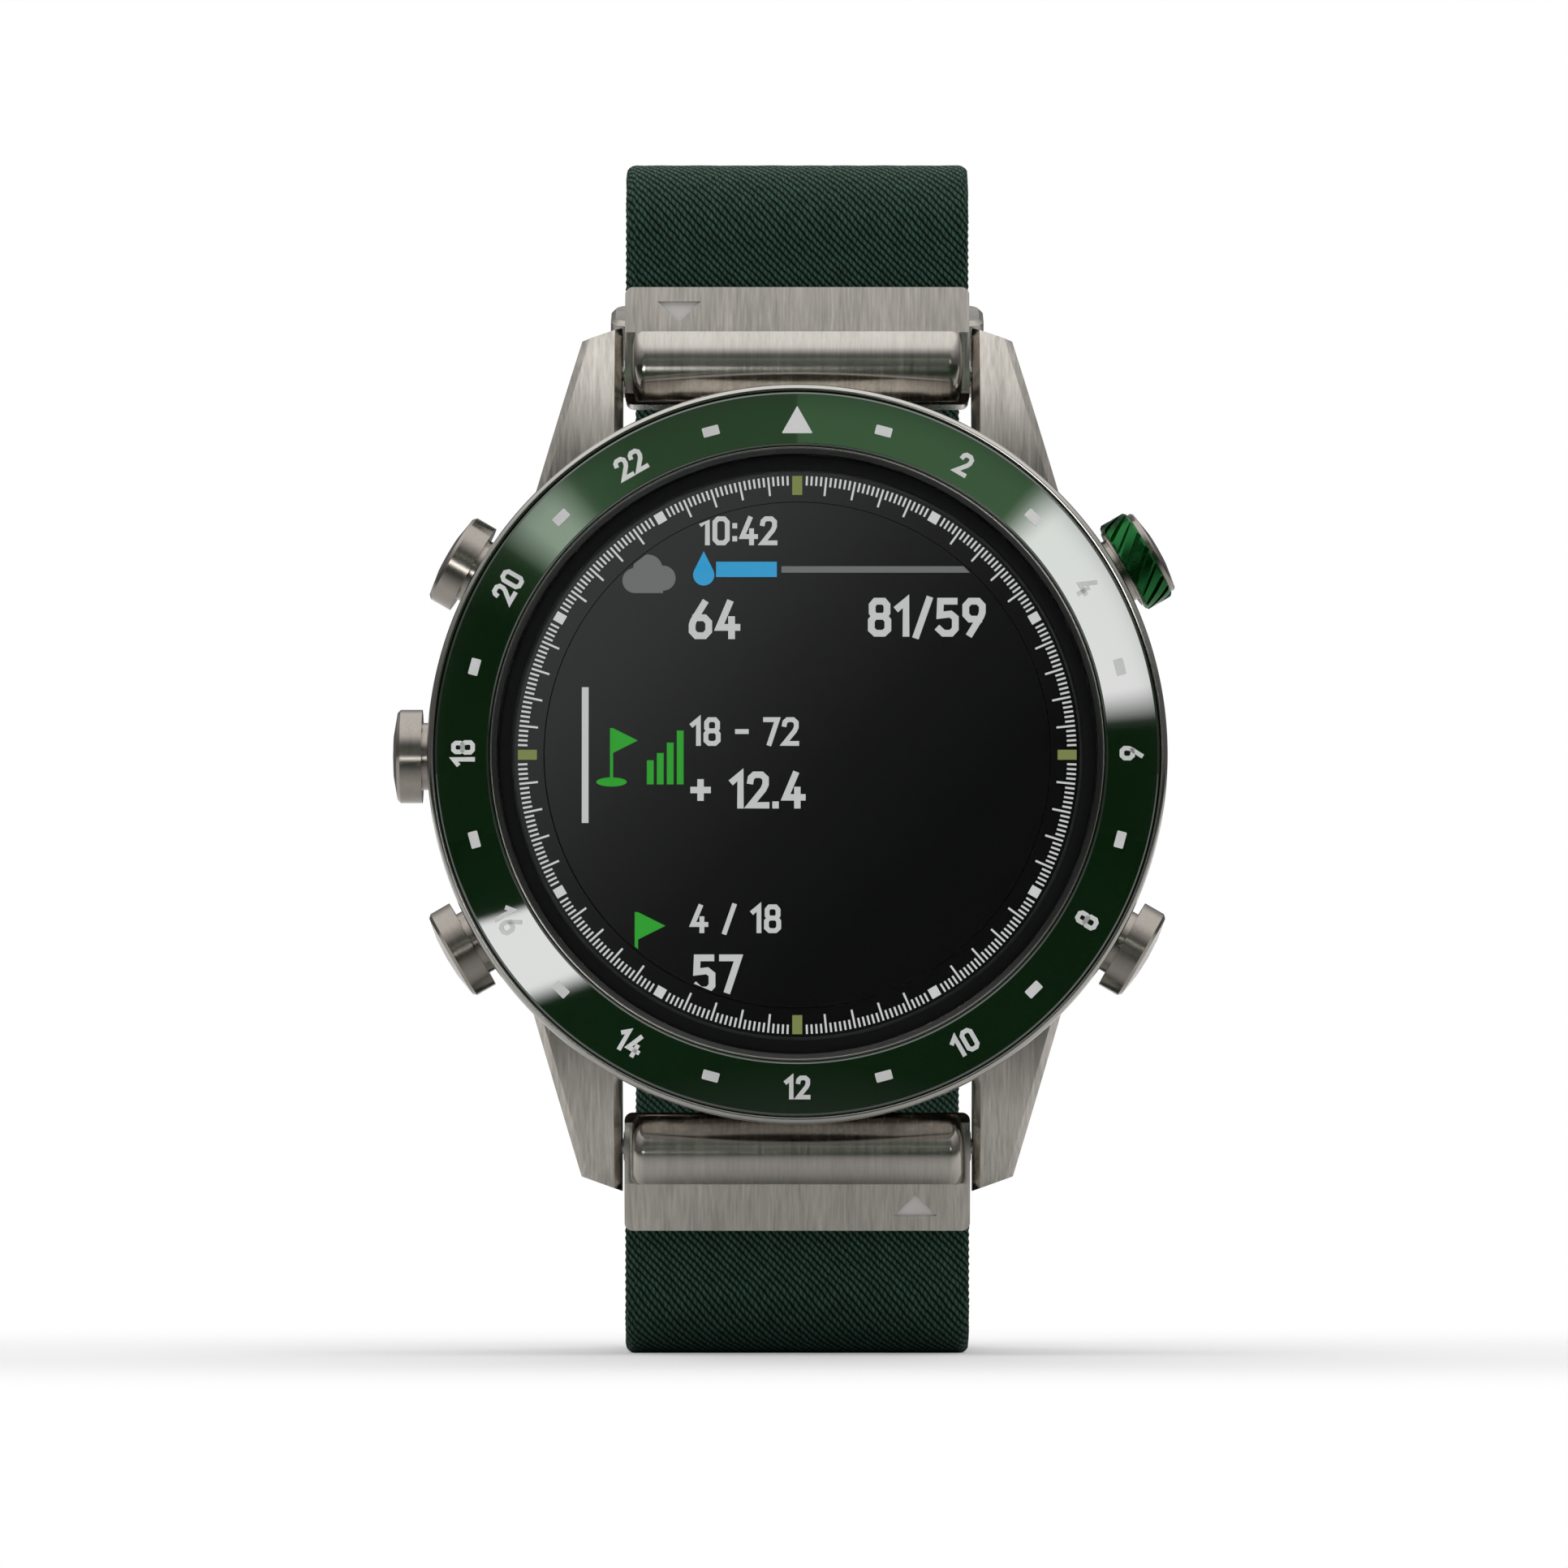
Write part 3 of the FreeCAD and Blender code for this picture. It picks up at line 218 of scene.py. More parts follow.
    def mix(self, share: Socket, first: bpy.types.Node, second: bpy.types.Node) -> bpy.types.Node:
        """Mixes two shaders by a share."""
        return self.add("MixShader", {0: share, 1: first.outputs[0], 2: second.outputs[0]})

    def both(self, first: bpy.types.Node, second: bpy.types.Node) -> bpy.types.Node:
        """Adds one shader to another."""
        return self.add("AddShader", {0: first.outputs[0], 1: second.outputs[0]})

    def shader(self, **values: object) -> bpy.types.Node:
        """The surface shader.

        Args:
            values: socket names with underscores for spaces, and what each takes.

        Returns:
            The shader node.
        """
        node = self.add("BsdfPrincipled", {key.replace("_", " "): value for key, value in values.items()})
        self.surface(node)
        return node

    def bump(self, height: Socket, shader: bpy.types.Node, distance: float, strength: float) -> None:
        """Roughens a shader's normal by a height, whose full step has a distance in metres."""
        node = self.add("Bump", {"Height": height, "Distance": distance, "Strength": strength})
        self.tree.links.new(node.outputs[0], shader.inputs["Normal"])


def shades(colour: Colour, swing: float) -> list[tuple[float, list[float]]]:
    """Ramp stops from a darker to a lighter shade of a colour.

    Args:
        colour: the middle shade.
        swing: how far the others are from it, as a share.

    Returns:
        The stops.
    """
    ends = ((0.3, 1.0 - swing), (0.7, 1.0 + swing))
    return [(place, [min(1.0, c * share) for c in colour]) for place, share in ends]


@dataclass(frozen=True)
class Metal:
    """Brushed or turned metal."""

    name: str
    colour: Colour
    roughness: float
    brush: Brush
    grain: float = 0.35
    line_share: float = 0.65
    streak_scale: float = 0.22
    swing: float = 0.35
    rough_swing: float = 0.09
    depth: float = 0.000004
    turned_scale: float = 9000.0
    turned_length: float = 5.0

    def make(self) -> bpy.types.Material:
        """Builds the material with fine brush lines and long streaks.

        Returns:
            The material.
        """
        graph = Graph(bpy.data.materials.new(self.name))
        place = graph.place()
        if self.brush is Brush.ROUND_DIAL:
            place = self._round(graph, place)
        else:
            place = graph.add("Mapping", {"Vector": place, "Scale": self.brush.value}).outputs[0]
        lines = graph.times(graph.noise(place, 1.0, 4.0), self.line_share)
        streaks = graph.times(graph.noise(place, self.streak_scale), 1.0 - self.line_share)
        mixed = graph.plus(lines, streaks)
        rough = (self.roughness - self.rough_swing, self.roughness + self.rough_swing)
        shader = graph.shader(
            Metallic=1.0,
            Base_Color=graph.ramp(mixed, shades(self.colour, self.swing * self.grain)),
            Roughness=graph.span(mixed, 0.0, 1.0, rough),
        )
        graph.bump(mixed, shader, self.depth, self.grain)
        return graph.owner

    def _round(self, graph: Graph, place: Socket) -> Socket:
        """Coordinates that follow circles about the dial's axis.

        Args:
            graph: the material's nodes.
            place: the plain coordinates.

        Returns:
            The radius, the angle and the depth, each scaled for the noise.
        """
        shifted = graph.add("Mapping", {"Vector": place, "Location": (0.0, 0.0, -DIAL_Z * MM)})
        x, y, z = graph.split(shifted.outputs[0])
        parts = {
            0: graph.times(graph.reach(x, z), self.turned_scale),
            1: graph.times(graph.math("ARCTAN2", x, z), self.turned_length),
            2: graph.times(y, self.turned_scale),
        }
        return graph.add("CombineXYZ", parts).outputs[0]


@dataclass(frozen=True)
class Moulded:
    """Plastic, rubber, ceramic or paint with a fine surface."""

    name: str
    colour: Colour
    roughness: float
    coat: float = 0.0
    grain_size: float = 9000.0
    grain: float = 0.1
    metallic: float = 0.0
    coat_ior: float = 1.5
    gloss: float = 0.5
    tint: Colour = (1.0, 1.0, 1.0)
    # Strength of a painted reflection: an emission that stands in for the glass's sheen; 0 for none
    sheen: float = 0.0
    sheen_reach: float = 0.024
    sheen_stops: Points = ((0.0, 0.036), (0.15, 0.030), (0.37, 0.015), (0.55, 0.0065), (0.80, 0.002))
    mottle_size: float = 160.0
    mottle: float = 0.14
    rough_swing: float = 0.05
    smoothest: float = 0.02
    depth: float = 0.00002

    def make(self) -> bpy.types.Material:
        """Builds the material with a fine grain, faint mottling and, where asked, a painted sheen.

        Returns:
            The material.
        """
        graph = Graph(bpy.data.materials.new(self.name))
        place = graph.place()
        fine = graph.noise(place, self.grain_size, 3.0)
        broad = graph.noise(place, self.mottle_size)
        rough = (max(self.smoothest, self.roughness - self.rough_swing), self.roughness + self.rough_swing)
        # Painted reflection: an emission gradient that stands in for the sheen of the glass
        painted_sheen_inputs = {}
        if self.sheen:
            painted_sheen_inputs = {"Emission_Color": self._glow(graph, place), "Emission_Strength": self.sheen}
        shader = graph.shader(
            Base_Color=graph.ramp(broad, shades(self.colour, self.mottle)),
            Roughness=graph.span(fine, 0.0, 1.0, rough),
            Metallic=self.metallic,
            Coat_Weight=self.coat,
            Coat_Roughness=self.smoothest,
            Coat_IOR=self.coat_ior,
            Specular_IOR_Level=self.gloss,
            Specular_Tint=(*self.tint, 1.0),
            **painted_sheen_inputs,
        )
        graph.bump(fine, shader, self.depth, self.grain)
        return graph.owner

    def _glow(self, graph: Graph, place: Socket) -> Socket:
        """A painted reflection: a faint emission, standing in for the glass's sheen, that falls from the
        upper left of the dial to the lower right.

        Args:
            graph: the material's nodes.
            place: the object coordinates.

        Returns:
            The painted reflection's colour.
        """
        x, _, z = graph.split(place)
        slant = graph.less(x, graph.less(z, DIAL_Z * MM))
        share = graph.span(slant, -self.sheen_reach, self.sheen_reach)
        return graph.ramp(share, [(p, (v, v, v * 1.02)) for p, v in self.sheen_stops])


@dataclass(frozen=True)
class Weave:
    """Twill webbing of fine twisted yarns, drawn on a UV map in millimetres, with painted shade in the
    grooves between stitches.
    """

    name: str
    # The first colour is painted shade where the yarns dip between stitches; the second is the yarn's colour
    # on the stitch tops
    dark: Colour
    light: Colour
    rib_pitch: float = 0.36
    stitch: float = 0.34
    lean: float = 45.0
    sway: float = 0.16
    skew: float = 0.75
    row_shift: float = 0.37
    dip: float = 0.40
    fibre: float = 0.25
    middle: float = 0.28
    patches: tuple[float, float] = (0.55, 1.45)
    relief: float = 0.00014

    def make(self) -> bpy.types.Material:
        """Builds ribs on the slant, each made of short twisted stitches, with painted shade in the grooves by
        their height.

        Returns:
            The material.
        """
        graph = Graph(bpy.data.materials.new(self.name))
        uv = graph.add("UVMap", uv_map="weave").outputs[0]
        u, v, _ = graph.split(uv)
        sine, cosine = math.sin(math.radians(self.lean)), math.cos(math.radians(self.lean))
        sway = graph.times(graph.less(graph.noise(uv, 1.7), 0.5), self.sway)
        across = graph.plus(graph.plus(graph.times(u, sine), graph.times(v, cosine)), sway)
        along = graph.less(graph.times(u, cosine), graph.times(v, sine))
        rib = graph.over(across, self.rib_pitch)
        skew = graph.times(graph.math("FRACT", rib), self.skew)
        row = graph.times(graph.math("FLOOR", rib), self.row_shift)
        stitch = graph.plus(graph.plus(graph.over(along, self.stitch), skew), row)
        body = graph.plus(graph.times(self._hump(graph, stitch), self.dip), 1.0 - self.dip)
        height = graph.times(self._hump(graph, rib), body)
        fibres = graph.times(graph.noise(uv, 9.0, 4.0), self.fibre)
        # Painted shade: the colour runs from near black in the grooves to the yarn's colour on the stitch
        # tops, by the bump's height
        middle = [a + (b - a) * self.middle for a, b in zip(self.dark, self.light)]
        colour = graph.ramp(height, [(0.38, self.dark), (0.70, middle), (0.98, self.light)])
        patches = graph.span(graph.noise(uv, 1.1, 5.0), 0.0, 1.0, self.patches)
        colour = graph.scaled(colour, patches)
        shader = graph.shader(Base_Color=colour, Roughness=0.6, Specular_IOR_Level=0.12)
        graph.bump(graph.plus(height, fibres), shader, self.relief, 1.0)
        return graph.owner

    def _hump(self, graph: Graph, value: Socket) -> Socket:
        """A row of rounded humps, one for each whole number."""
        half = graph.math("ABSOLUTE", graph.less(graph.math("FRACT", value), 0.5))
        return graph.math("SQRT", graph.less(1.0, graph.math("POWER", graph.times(half, 2.0), 2.0)))


@dataclass(frozen=True)
class Glass:
    """Clear or tinted glass with a slight coating."""

    name: str
    tint: Colour
    clear: float
    smear_size: float = 90.0
    roughness: tuple[float, float] = (0.01, 0.03)
    ior: float = 1.35

    def make(self) -> bpy.types.Material:
        """Builds thin glass: mostly see-through, with a sharp reflection that grows at a slant.

        Returns:
            The material.
        """
        graph = Graph(bpy.data.materials.new(self.name))
        through = graph.add("BsdfTransparent", {"Color": (*self.tint, 1.0)})
        rough = graph.span(graph.noise(graph.place(), self.smear_size), 0.0, 1.0, self.roughness)
        gloss = graph.add("BsdfGlossy", {"Roughness": rough})
        edge = graph.add("Fresnel", {"IOR": self.ior}).outputs[0]
        graph.surface(graph.mix(graph.times(edge, 1.0 - self.clear), through, gloss))
        return graph.owner


@dataclass(frozen=True)
class Lit:
    """A lit area of the screen with the screen's own fine dots."""

    name: str
    colour: Colour
    strength: float = 1.0
    dot_scale: float = 8500.0
    dim: float = 0.93

    def make(self) -> bpy.types.Material:
        """Builds a glowing colour broken by a faint grid of dots.

        Returns:
            The material.
        """
        graph = Graph(bpy.data.materials.new(self.name))
        grid = {"Vector": graph.place(), "Scale": self.dot_scale, "Randomness": 0.0}
        dots = graph.add("TexVoronoi", grid).outputs["Distance"]
        low = [c * self.dim for c in self.colour]
        graph.shader(
            Base_Color=(0.01, 0.01, 0.01, 1.0),
            Roughness=0.5,
            Emission_Color=graph.ramp(dots, [(0.25, self.colour), (0.8, low)]),
            Emission_Strength=self.strength,
        )
        return graph.owner


Finish = Metal | Moulded | Weave | Glass | Lit

TITANIUM = Metal("brushed_titanium", (0.52, 0.49, 0.445), 0.25, Brush.UPRIGHT, 0.8)
TITANIUM_ACROSS = Metal("brushed_titanium_across", (0.48, 0.45, 0.41), 0.27, Brush.ACROSS, 0.7)
TITANIUM_FINE = Metal("fine_titanium", (0.50, 0.47, 0.43), 0.17, Brush.UPRIGHT, 0.35)
# Painted shade: a darker copy of the titanium that stands in for the pushers' dim look; the turned grain is
# real
PUSHER_TITANIUM_SHADED = Metal("pusher_titanium_painted_shade", (0.36, 0.33, 0.295), 0.2, Brush.ROUND_DIAL, 0.25)
PALE_MARK = Moulded("pale_recess", (0.74, 0.72, 0.69), 0.5, grain=0.3)
POLISHED = Metal("polished_rim", (0.50, 0.485, 0.455), 0.12, Brush.ROUND_DIAL, 0.08)
STEEL = Metal("plain_steel", (0.55, 0.55, 0.54), 0.24, Brush.ACROSS, 0.2)
BACK_METAL = Metal("back_cover_metal", (0.42, 0.40, 0.38), 0.30, Brush.ROUND_DIAL, 0.3)
GREEN_ALLOY = Metal("green_alloy", (0.018, 0.13, 0.035), 0.26, Brush.DEEP, 0.25)
GOLD = Moulded("gold_plate", (0.85, 0.62, 0.28), 0.2, metallic=1.0)
CERAMIC = Moulded(
    "green_ceramic",
    (0.0016, 0.0125, 0.0016),
    0.4,
    coat=1.0,
    grain=0.01,
    coat_ior=2.2,
    gloss=0.1,
    tint=(0.3, 1.0, 0.35),
)
MARKS = Moulded("white_marking", (0.86, 0.87, 0.86), 0.45, grain=0.15)
DIAL_BLACK = Moulded("dial_black", (0.004, 0.004, 0.0045), 0.45, grain=0.2, gloss=0.2)
CHAMFER_GREY = Moulded("inner_chamfer_grey", (0.055, 0.056, 0.055), 0.3, grain=0.1, metallic=0.6)
# The screen and the minute ring carry a painted sheen: emission standing in for the glass's reflection
SCREEN_BLACK = Moulded("screen_black", (0.0016, 0.0016, 0.0018), 0.35, grain=0.02, gloss=0.03, sheen=1.0)
SEAL = Moulded("black_rubber", (0.012, 0.012, 0.012), 0.7, grain=0.4)
INNER_PLASTIC = Moulded("inner_plastic", (0.03, 0.03, 0.032), 0.5, grain=0.3)
BOARD = Moulded("board_green", (0.01, 0.09, 0.035), 0.4, grain=0.3)
COPPER = Moulded("antenna_copper", (0.62, 0.36, 0.2), 0.3, metallic=1.0)
FOIL = Moulded("cell_foil", (0.14, 0.15, 0.17), 0.35, grain=0.3, metallic=0.4)
TIN = Moulded("tin_plate", (0.55, 0.55, 0.54), 0.3, grain=0.2, metallic=1.0)
WINDOW = Moulded("sensor_window_black", (0.006, 0.006, 0.008), 0.05, coat=1.0, grain=0.0)
TRACK_WHITE = Lit("track_white", (0.60, 0.60, 0.59))
TRACK_OLIVE = Lit("track_olive", (0.19, 0.22, 0.065))
TEXT_WHITE = Lit("figures_white", (0.55, 0.55, 0.55))
ICON_GREY = Lit("icon_grey", (0.15, 0.15, 0.15))
BAR_BLUE = Lit("bar_blue", (0.032, 0.319, 0.604))
ICON_GREEN = Lit("icon_green", (0.021, 0.33, 0.021))
# First colour: painted shade in the webbing's grooves; second: the yarn's own colour
STRAP_WEAVE = Weave("green_webbing", (0.0004, 0.0014, 0.0010), (0.046, 0.112, 0.080))
THREAD = Moulded("green_thread", (0.010, 0.045, 0.032), 0.7, grain=0.5)
CRYSTAL = Glass("sapphire_glass", (0.97, 0.98, 0.98), 0.6)

_made: dict[str, bpy.types.Material] = {}


def finish(kind: Finish) -> bpy.types.Material:
    """The material of a finish, made once.

    Args:
        kind: the finish.

    Returns:
        Its material.
    """
    if kind.name not in _made:
        _made[kind.name] = kind.make()
    return _made[kind.name]


def shade_smooth(mesh: bpy.types.Mesh, sharp: float = 32.0) -> None:
    """Smooth shading that keeps edges over an angle sharp.

    Args:
        mesh: the mesh to shade.
        sharp: the angle in degrees.
    """
    mesh.shade_smooth()
    mesh.set_sharp_from_angle(angle=math.radians(sharp))


def piece(
    name: str,
    bm: Mesh,
    kind: Finish,
    body: str,
    replaces: Sequence[str] = (),
    sharp: float = 32.0,
) -> bpy.types.Object:
    """Turns a finished bmesh into a dressed object that rides on its body.

    Args:
        name: the piece's name.
        bm: the mesh, in metres and in place.
        kind: its finish.
        body: the body that it moves with.
        replaces: model nodes that it stands for.
        sharp: edges over this angle stay sharp.

    Returns:
        The new object.
    """
    mesh = bpy.data.meshes.new(name)
    bm.to_mesh(mesh)
    bm.free()
    shade_smooth(mesh, sharp)
    thing = bpy.data.objects.new(name, mesh)
    bpy.context.scene.collection.objects.link(thing)
    thing.data.materials.append(finish(kind))
    even = thing.modifiers.new("even_normals", "WEIGHTED_NORMAL")
    even.keep_sharp = True
    even.weight = 70
    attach(thing, body)
    if replaces:
        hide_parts(*replaces)
    LOG.info("%s: %d faces", name, len(mesh.polygons))
    return thing


def spun(section: Points, bevel: float = 0.0, steps: int = 192) -> Mesh:
    """A ring or disc spun about the dial's axis.

    Args:
        section: closed section of (radius, depth) corners in millimetres.
        bevel: how far the section's corners are rounded, in millimetres.
        steps: how many steps the spin has.

    Returns:
        The new mesh.
    """
    bm = bmesh.new()
    corners = [bm.verts.new(at(0.0, r, d)) for r, d in section]
    bm.faces.new(corners)
    if bevel:
        bmesh.ops.bevel(
            bm, geom=corners, offset=bevel * MM, segments=3, profile=0.5, affect="VERTICES", material=-1
        )
    face = bm.faces[:][0]
    outline = [*face.verts, *face.edges]
    bmesh.ops.delete(bm, geom=[face], context="FACES_ONLY")
    bmesh.ops.spin(
        bm,
        geom=outline,
        cent=at(0.0, 0.0, 0.0),
        axis=Vector((0.0, 1.0, 0.0)),
        angle=math.tau,
        steps=steps,
        use_merge=True,
    )
    bmesh.ops.remove_doubles(bm, verts=bm.verts, dist=1e-7)
    bmesh.ops.recalc_face_normals(bm, faces=bm.faces)
    return bm


def eased_copy(node: str, bevel: float, segments: int = 2, over: float = 25.0) -> Mesh:
    """A copy of a model node with its sharp edges rounded.

    Args:
        node: the node's name.
        bevel: the edge's width in millimetres.
        segments: how many faces the rounding has.
        over: edges sharper than this angle in degrees are rounded.

    Returns:
        The new mesh.
    """
    bm = bmesh.new()
    bm.from_mesh(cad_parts[node].data)
    bmesh.ops.remove_doubles(bm, verts=bm.verts, dist=2e-6)
    bmesh.ops.dissolve_degenerate(bm, dist=1e-6, edges=bm.edges)
    bmesh.ops.dissolve_limit(bm, angle_limit=math.radians(0.6), verts=bm.verts, edges=bm.edges)
    if not bevel:
        return bm
    sharp = [e for e in bm.edges if len(e.link_faces) == 2 and e.calc_face_angle(0.0) > math.radians(over)]
    bmesh.ops.bevel(
        bm,
        geom=sharp,
        offset=bevel * MM,
        segments=segments,
        profile=0.5,
        affect="EDGES",
        material=-1,
        clamp_overlap=True,
    )
    return bm


def rod(bm: Mesh, radius: float, length: float, segments: int) -> list[bmesh.types.BMVert]:
    """A closed cylinder about z, at the origin.

    Args:
        bm: the mesh that takes it.
        radius: its radius.
        length: its length.
        segments: how many sides it has.

    Returns:
        Its vertices.
    """
    made = bmesh.ops.create_cone(
        bm, cap_ends=True, segments=segments, radius1=radius, radius2=radius, depth=length
    )
    return made["verts"]


def block(bm: Mesh, size: Sequence[float], place: Sequence[float]) -> list[bmesh.types.BMVert]:
    """A box about a place.

    Args:
        bm: the mesh that takes it.
        size: its three sizes.
        place: its centre.

    Returns:
        Its vertices.
    """
    made = bmesh.ops.create_cube(bm, size=1.0)["verts"]
    bmesh.ops.scale(bm, verts=made, vec=size)
    bmesh.ops.translate(bm, verts=made, vec=place)
    return made


def lay(bm: Mesh, verts: list[bmesh.types.BMVert], axis: str, angle: float, place: Vector) -> None:
    """Turns vertices about an axis through the origin, then moves them by a place."""
    bmesh.ops.rotate(bm, verts=verts, cent=(0, 0, 0), matrix=Matrix.Rotation(angle, 3, axis))
    bmesh.ops.translate(bm, verts=verts, vec=place)


def dress(names: Iterable[str], kind: Finish) -> None:
    """Gives model nodes a finish in place of their plain one.

    Args:
        names: the nodes.
        kind: the finish.
    """
    for name in names:
        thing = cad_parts[name]
        for slot in thing.material_slots:
            slot.material = finish(kind)
        LOG.info("%s: dressed", name)


@dataclass
class Bezel:
    """Ceramic insert in its metal bezel, with the white markings round it."""

    inner: float = 19.10
    outer: float = 22.52
    front: float = 0.10
    fall: float = 0.30
    thick: float = 1.10
    ease: float = 0.16
    ease_deep: float = 0.17
    mark_circle: float = 20.72
    figure_tall: float = 1.47
    figure_weight: float = 0.28
    lift: float = 0.012
    mark_thick: float = 0.03
    mark_round: float = 0.07
    triangle: Points = ((-0.96, -0.84), (0.96, -0.84), (0.0, 0.88))
    bar: Points = ((-0.52, -0.3), (0.52, -0.3), (0.52, 0.3), (-0.52, 0.3))

    def build(self) -> None:
        """Builds the ring, the insert and the markings."""
        self._insert()
        self._metal()
        self._marks()

    def surface(self, radius: float) -> float:
        """Depth of the insert's face at a radius."""
        share = (radius - self.inner) / (self.outer - self.inner)
        return self.front + self.fall * share

    def _insert(self) -> None:
        """The glossy ceramic ring with its bevelled edges."""
        back = self.front + self.fall + self.thick
        section = [
            (self.inner, self.front + self.ease_deep),
            (self.inner + self.ease, self.front),
            (self.outer - self.ease, self.surface(self.outer - self.ease)),
            (self.outer, self.surface(self.outer) + self.ease_deep),
            (self.outer, back),
            (self.inner, back),
        ]
        bm = spun(section, 0.02, 360)
        piece("ceramic_insert", bm, CERAMIC, "watch", ["bezel_insert"], 50.0)

    def _metal(self) -> None:
        """The metal bezel: polished rim outside, grey chamfer inside."""
        rim_front = self.front + self.fall + 0.15
        section = [
            (22.57, 1.45),
            (22.57, rim_front),
            (22.72, rim_front - 0.03),
            (22.92, rim_front + 0.12),
            (23.0, rim_front + 0.45),
            (23.0, 2.45),
            (22.85, 2.69),
            (21.85, 2.69),
            (21.85, 1.45),
        ]
        bm = spun(section, 0.04, 360)
        piece("bezel_rim", bm, POLISHED, "watch", ["bezel_ring"], 40.0)
        section = [
            (19.05, 0.27),
            (19.05, 1.45),
            (21.80, 1.46),
            (21.80, 2.48),
            (18.66, 2.48),
            (18.66, 0.66),
            (18.97, 0.25),
        ]
        bm = spun(section, 0.02, 288)
        piece("bezel_inner_chamfer", bm, CHAMFER_GREY, "watch", (), 40.0)
        section = [(18.955, 0.235), (19.065, 0.235), (19.065, 0.32), (18.955, 0.32)]
        bm = spun(section, 0.03, 288)
        piece("bezel_inner_bright_line", bm, POLISHED, "watch", (), 60.0)

    def _marks(self) -> None:
        """Triangle at the top, numbers every 30 degrees and short bars between them."""
        bm = bmesh.new()
        self._mark(bm, self.triangle, 0.0)
        for step in range(1, 24):
            angle = 15.0 * step
            if step % 2:
                self._mark(bm, self.bar, angle)
                continue
            before = set(bm.verts)
            draw_text(bm, str(step), self.figure_tall, self.figure_weight, self.mark_thick)
            inward = 120.0 <= angle <= 240.0
            self._settle([v for v in bm.verts if v not in before], angle, inward)
        piece("bezel_markings", bm, MARKS, "watch", (), 30.0)

    def _settle(self, verts: Iterable[bmesh.types.BMVert], angle: float, inward: bool = False) -> None:
        """Carries a flat mark from the drawing plane to its place on the insert.

        Args:
            verts: its vertices, drawn in millimetres with y up and z towards the viewer.
            angle: its clock angle.
            inward: true where its top points to the centre.
        """
        turn = math.radians(angle)
        flip = -1.0 if inward else 1.0
        for vert in verts:
            x, up, rise = vert.co
            radius = self.mark_circle + flip * up
            side = flip * x
            depth = self.surface(radius) - self.lift - rise
            right = math.cos(turn) * side + math.sin(turn) * radius
            height = -math.sin(turn) * side + math.cos(turn) * radius
            vert.co = at(right, height, depth)

    def _mark(self, bm: Mesh, corners: Points, angle: float) -> None:
        """A flat mark with a thickness and a rounded outline.

        Args:
            bm: the mesh that takes it.
            corners: its outline about its own centre, with y up.
            angle: its clock angle.
        """
        face = bm.faces.new([bm.verts.new((x, y, 0.0)) for x, y in corners])
        grown = bmesh.ops.extrude_face_region(bm, geom=[face])
        top = [v for v in grown["geom"] if isinstance(v, bmesh.types.BMVert)]
        bmesh.ops.translate(bm, verts=top, vec=(0.0, 0.0, self.mark_thick))
        linked = set(top)
        for vert in top:
            linked.update(e.other_vert(vert) for e in vert.link_edges)
        upright = {e for v in linked for e in v.link_edges if abs(e.verts[0].co.z - e.verts[1].co.z) > 0.01}
        result = bmesh.ops.bevel(
            bm,
            geom=list(upright),
            offset=self.mark_round,
            segments=3,
            profile=0.5,
            affect="EDGES",
            material=-1,
        )
        everything = {v for v in linked if v.is_valid} | set(result["verts"])
        bmesh.ops.recalc_face_normals(bm, faces=list({f for v in everything for f in v.link_faces}))
        self._settle(everything, angle)


# Numerals on a cell 100 high: the width, then runs of x,y points. A run that ends in * is closed.
CELL = 100.0
STROKES: dict[str, tuple[float, str]] = {
    "0": (56, "14,0 42,0 56,14 56,86 42,100 14,100 0,86 0,14 *"),
    "1": (26, "0,80 26,100 26,0"),
    "2": (54, "0,80 2,90 14,100 40,100 54,88 54,68 46,52 0,0 56,0"),
    "3": (54, "0,100 54,100 26,58 40,58 54,46 54,14 40,0 14,0 0,14"),
    "4": (58, "34,100 0,26 60,26 | 42,50 42,0"),
    "5": (54, "50,100 4,100 2,56 38,60 54,48 54,14 40,0 14,0 0,12"),
    "6": (56, "40,100 4,46 0,34 0,14 14,0 42,0 56,14 56,42 42,56 12,56"),
    "7": (52, "0,100 54,100 18,0"),
    "8": (
        56,
        "14,0 42,0 56,12 56,40 44,53 12,53 0,40 0,12 * | "
        "12,53 44,53 53,64 53,88 42,100 14,100 3,88 3,64 *",
    ),
    "9": (56, "16,0 52,54 56,66 56,86 42,100 14,100 0,86 0,58 14,44 44,44"),
    "/": (42, "0,-6 42,104"),
    ".": (0, "0,0 0,2"),
    ":": (0, "0,16 0,18 | 0,70 0,72"),
    "+": (50, "0,50 50,50 | 25,25 25,75"),
    "-": (40, "0,50 40,50"),
    " ": (20, ""),
}
NARROW = 0.92
GAP = 1.55


def runs_of(strokes: str) -> list[tuple[list[tuple[float, float]], bool]]:
    """The runs of points that draw a numeral.

    Args:
        strokes: x,y points with spaces between them and a bar between runs.

    Returns:
        Each run's points on a cell one unit high, and whether it is closed.
    """
    runs = []
    for run in filter(None, strokes.split(" | ")):
        words = run.split()
        points = [tuple(int(n) / CELL for n in word.split(",")) for word in words if word != "*"]
        runs.append((points, words[-1] == "*"))
    return runs


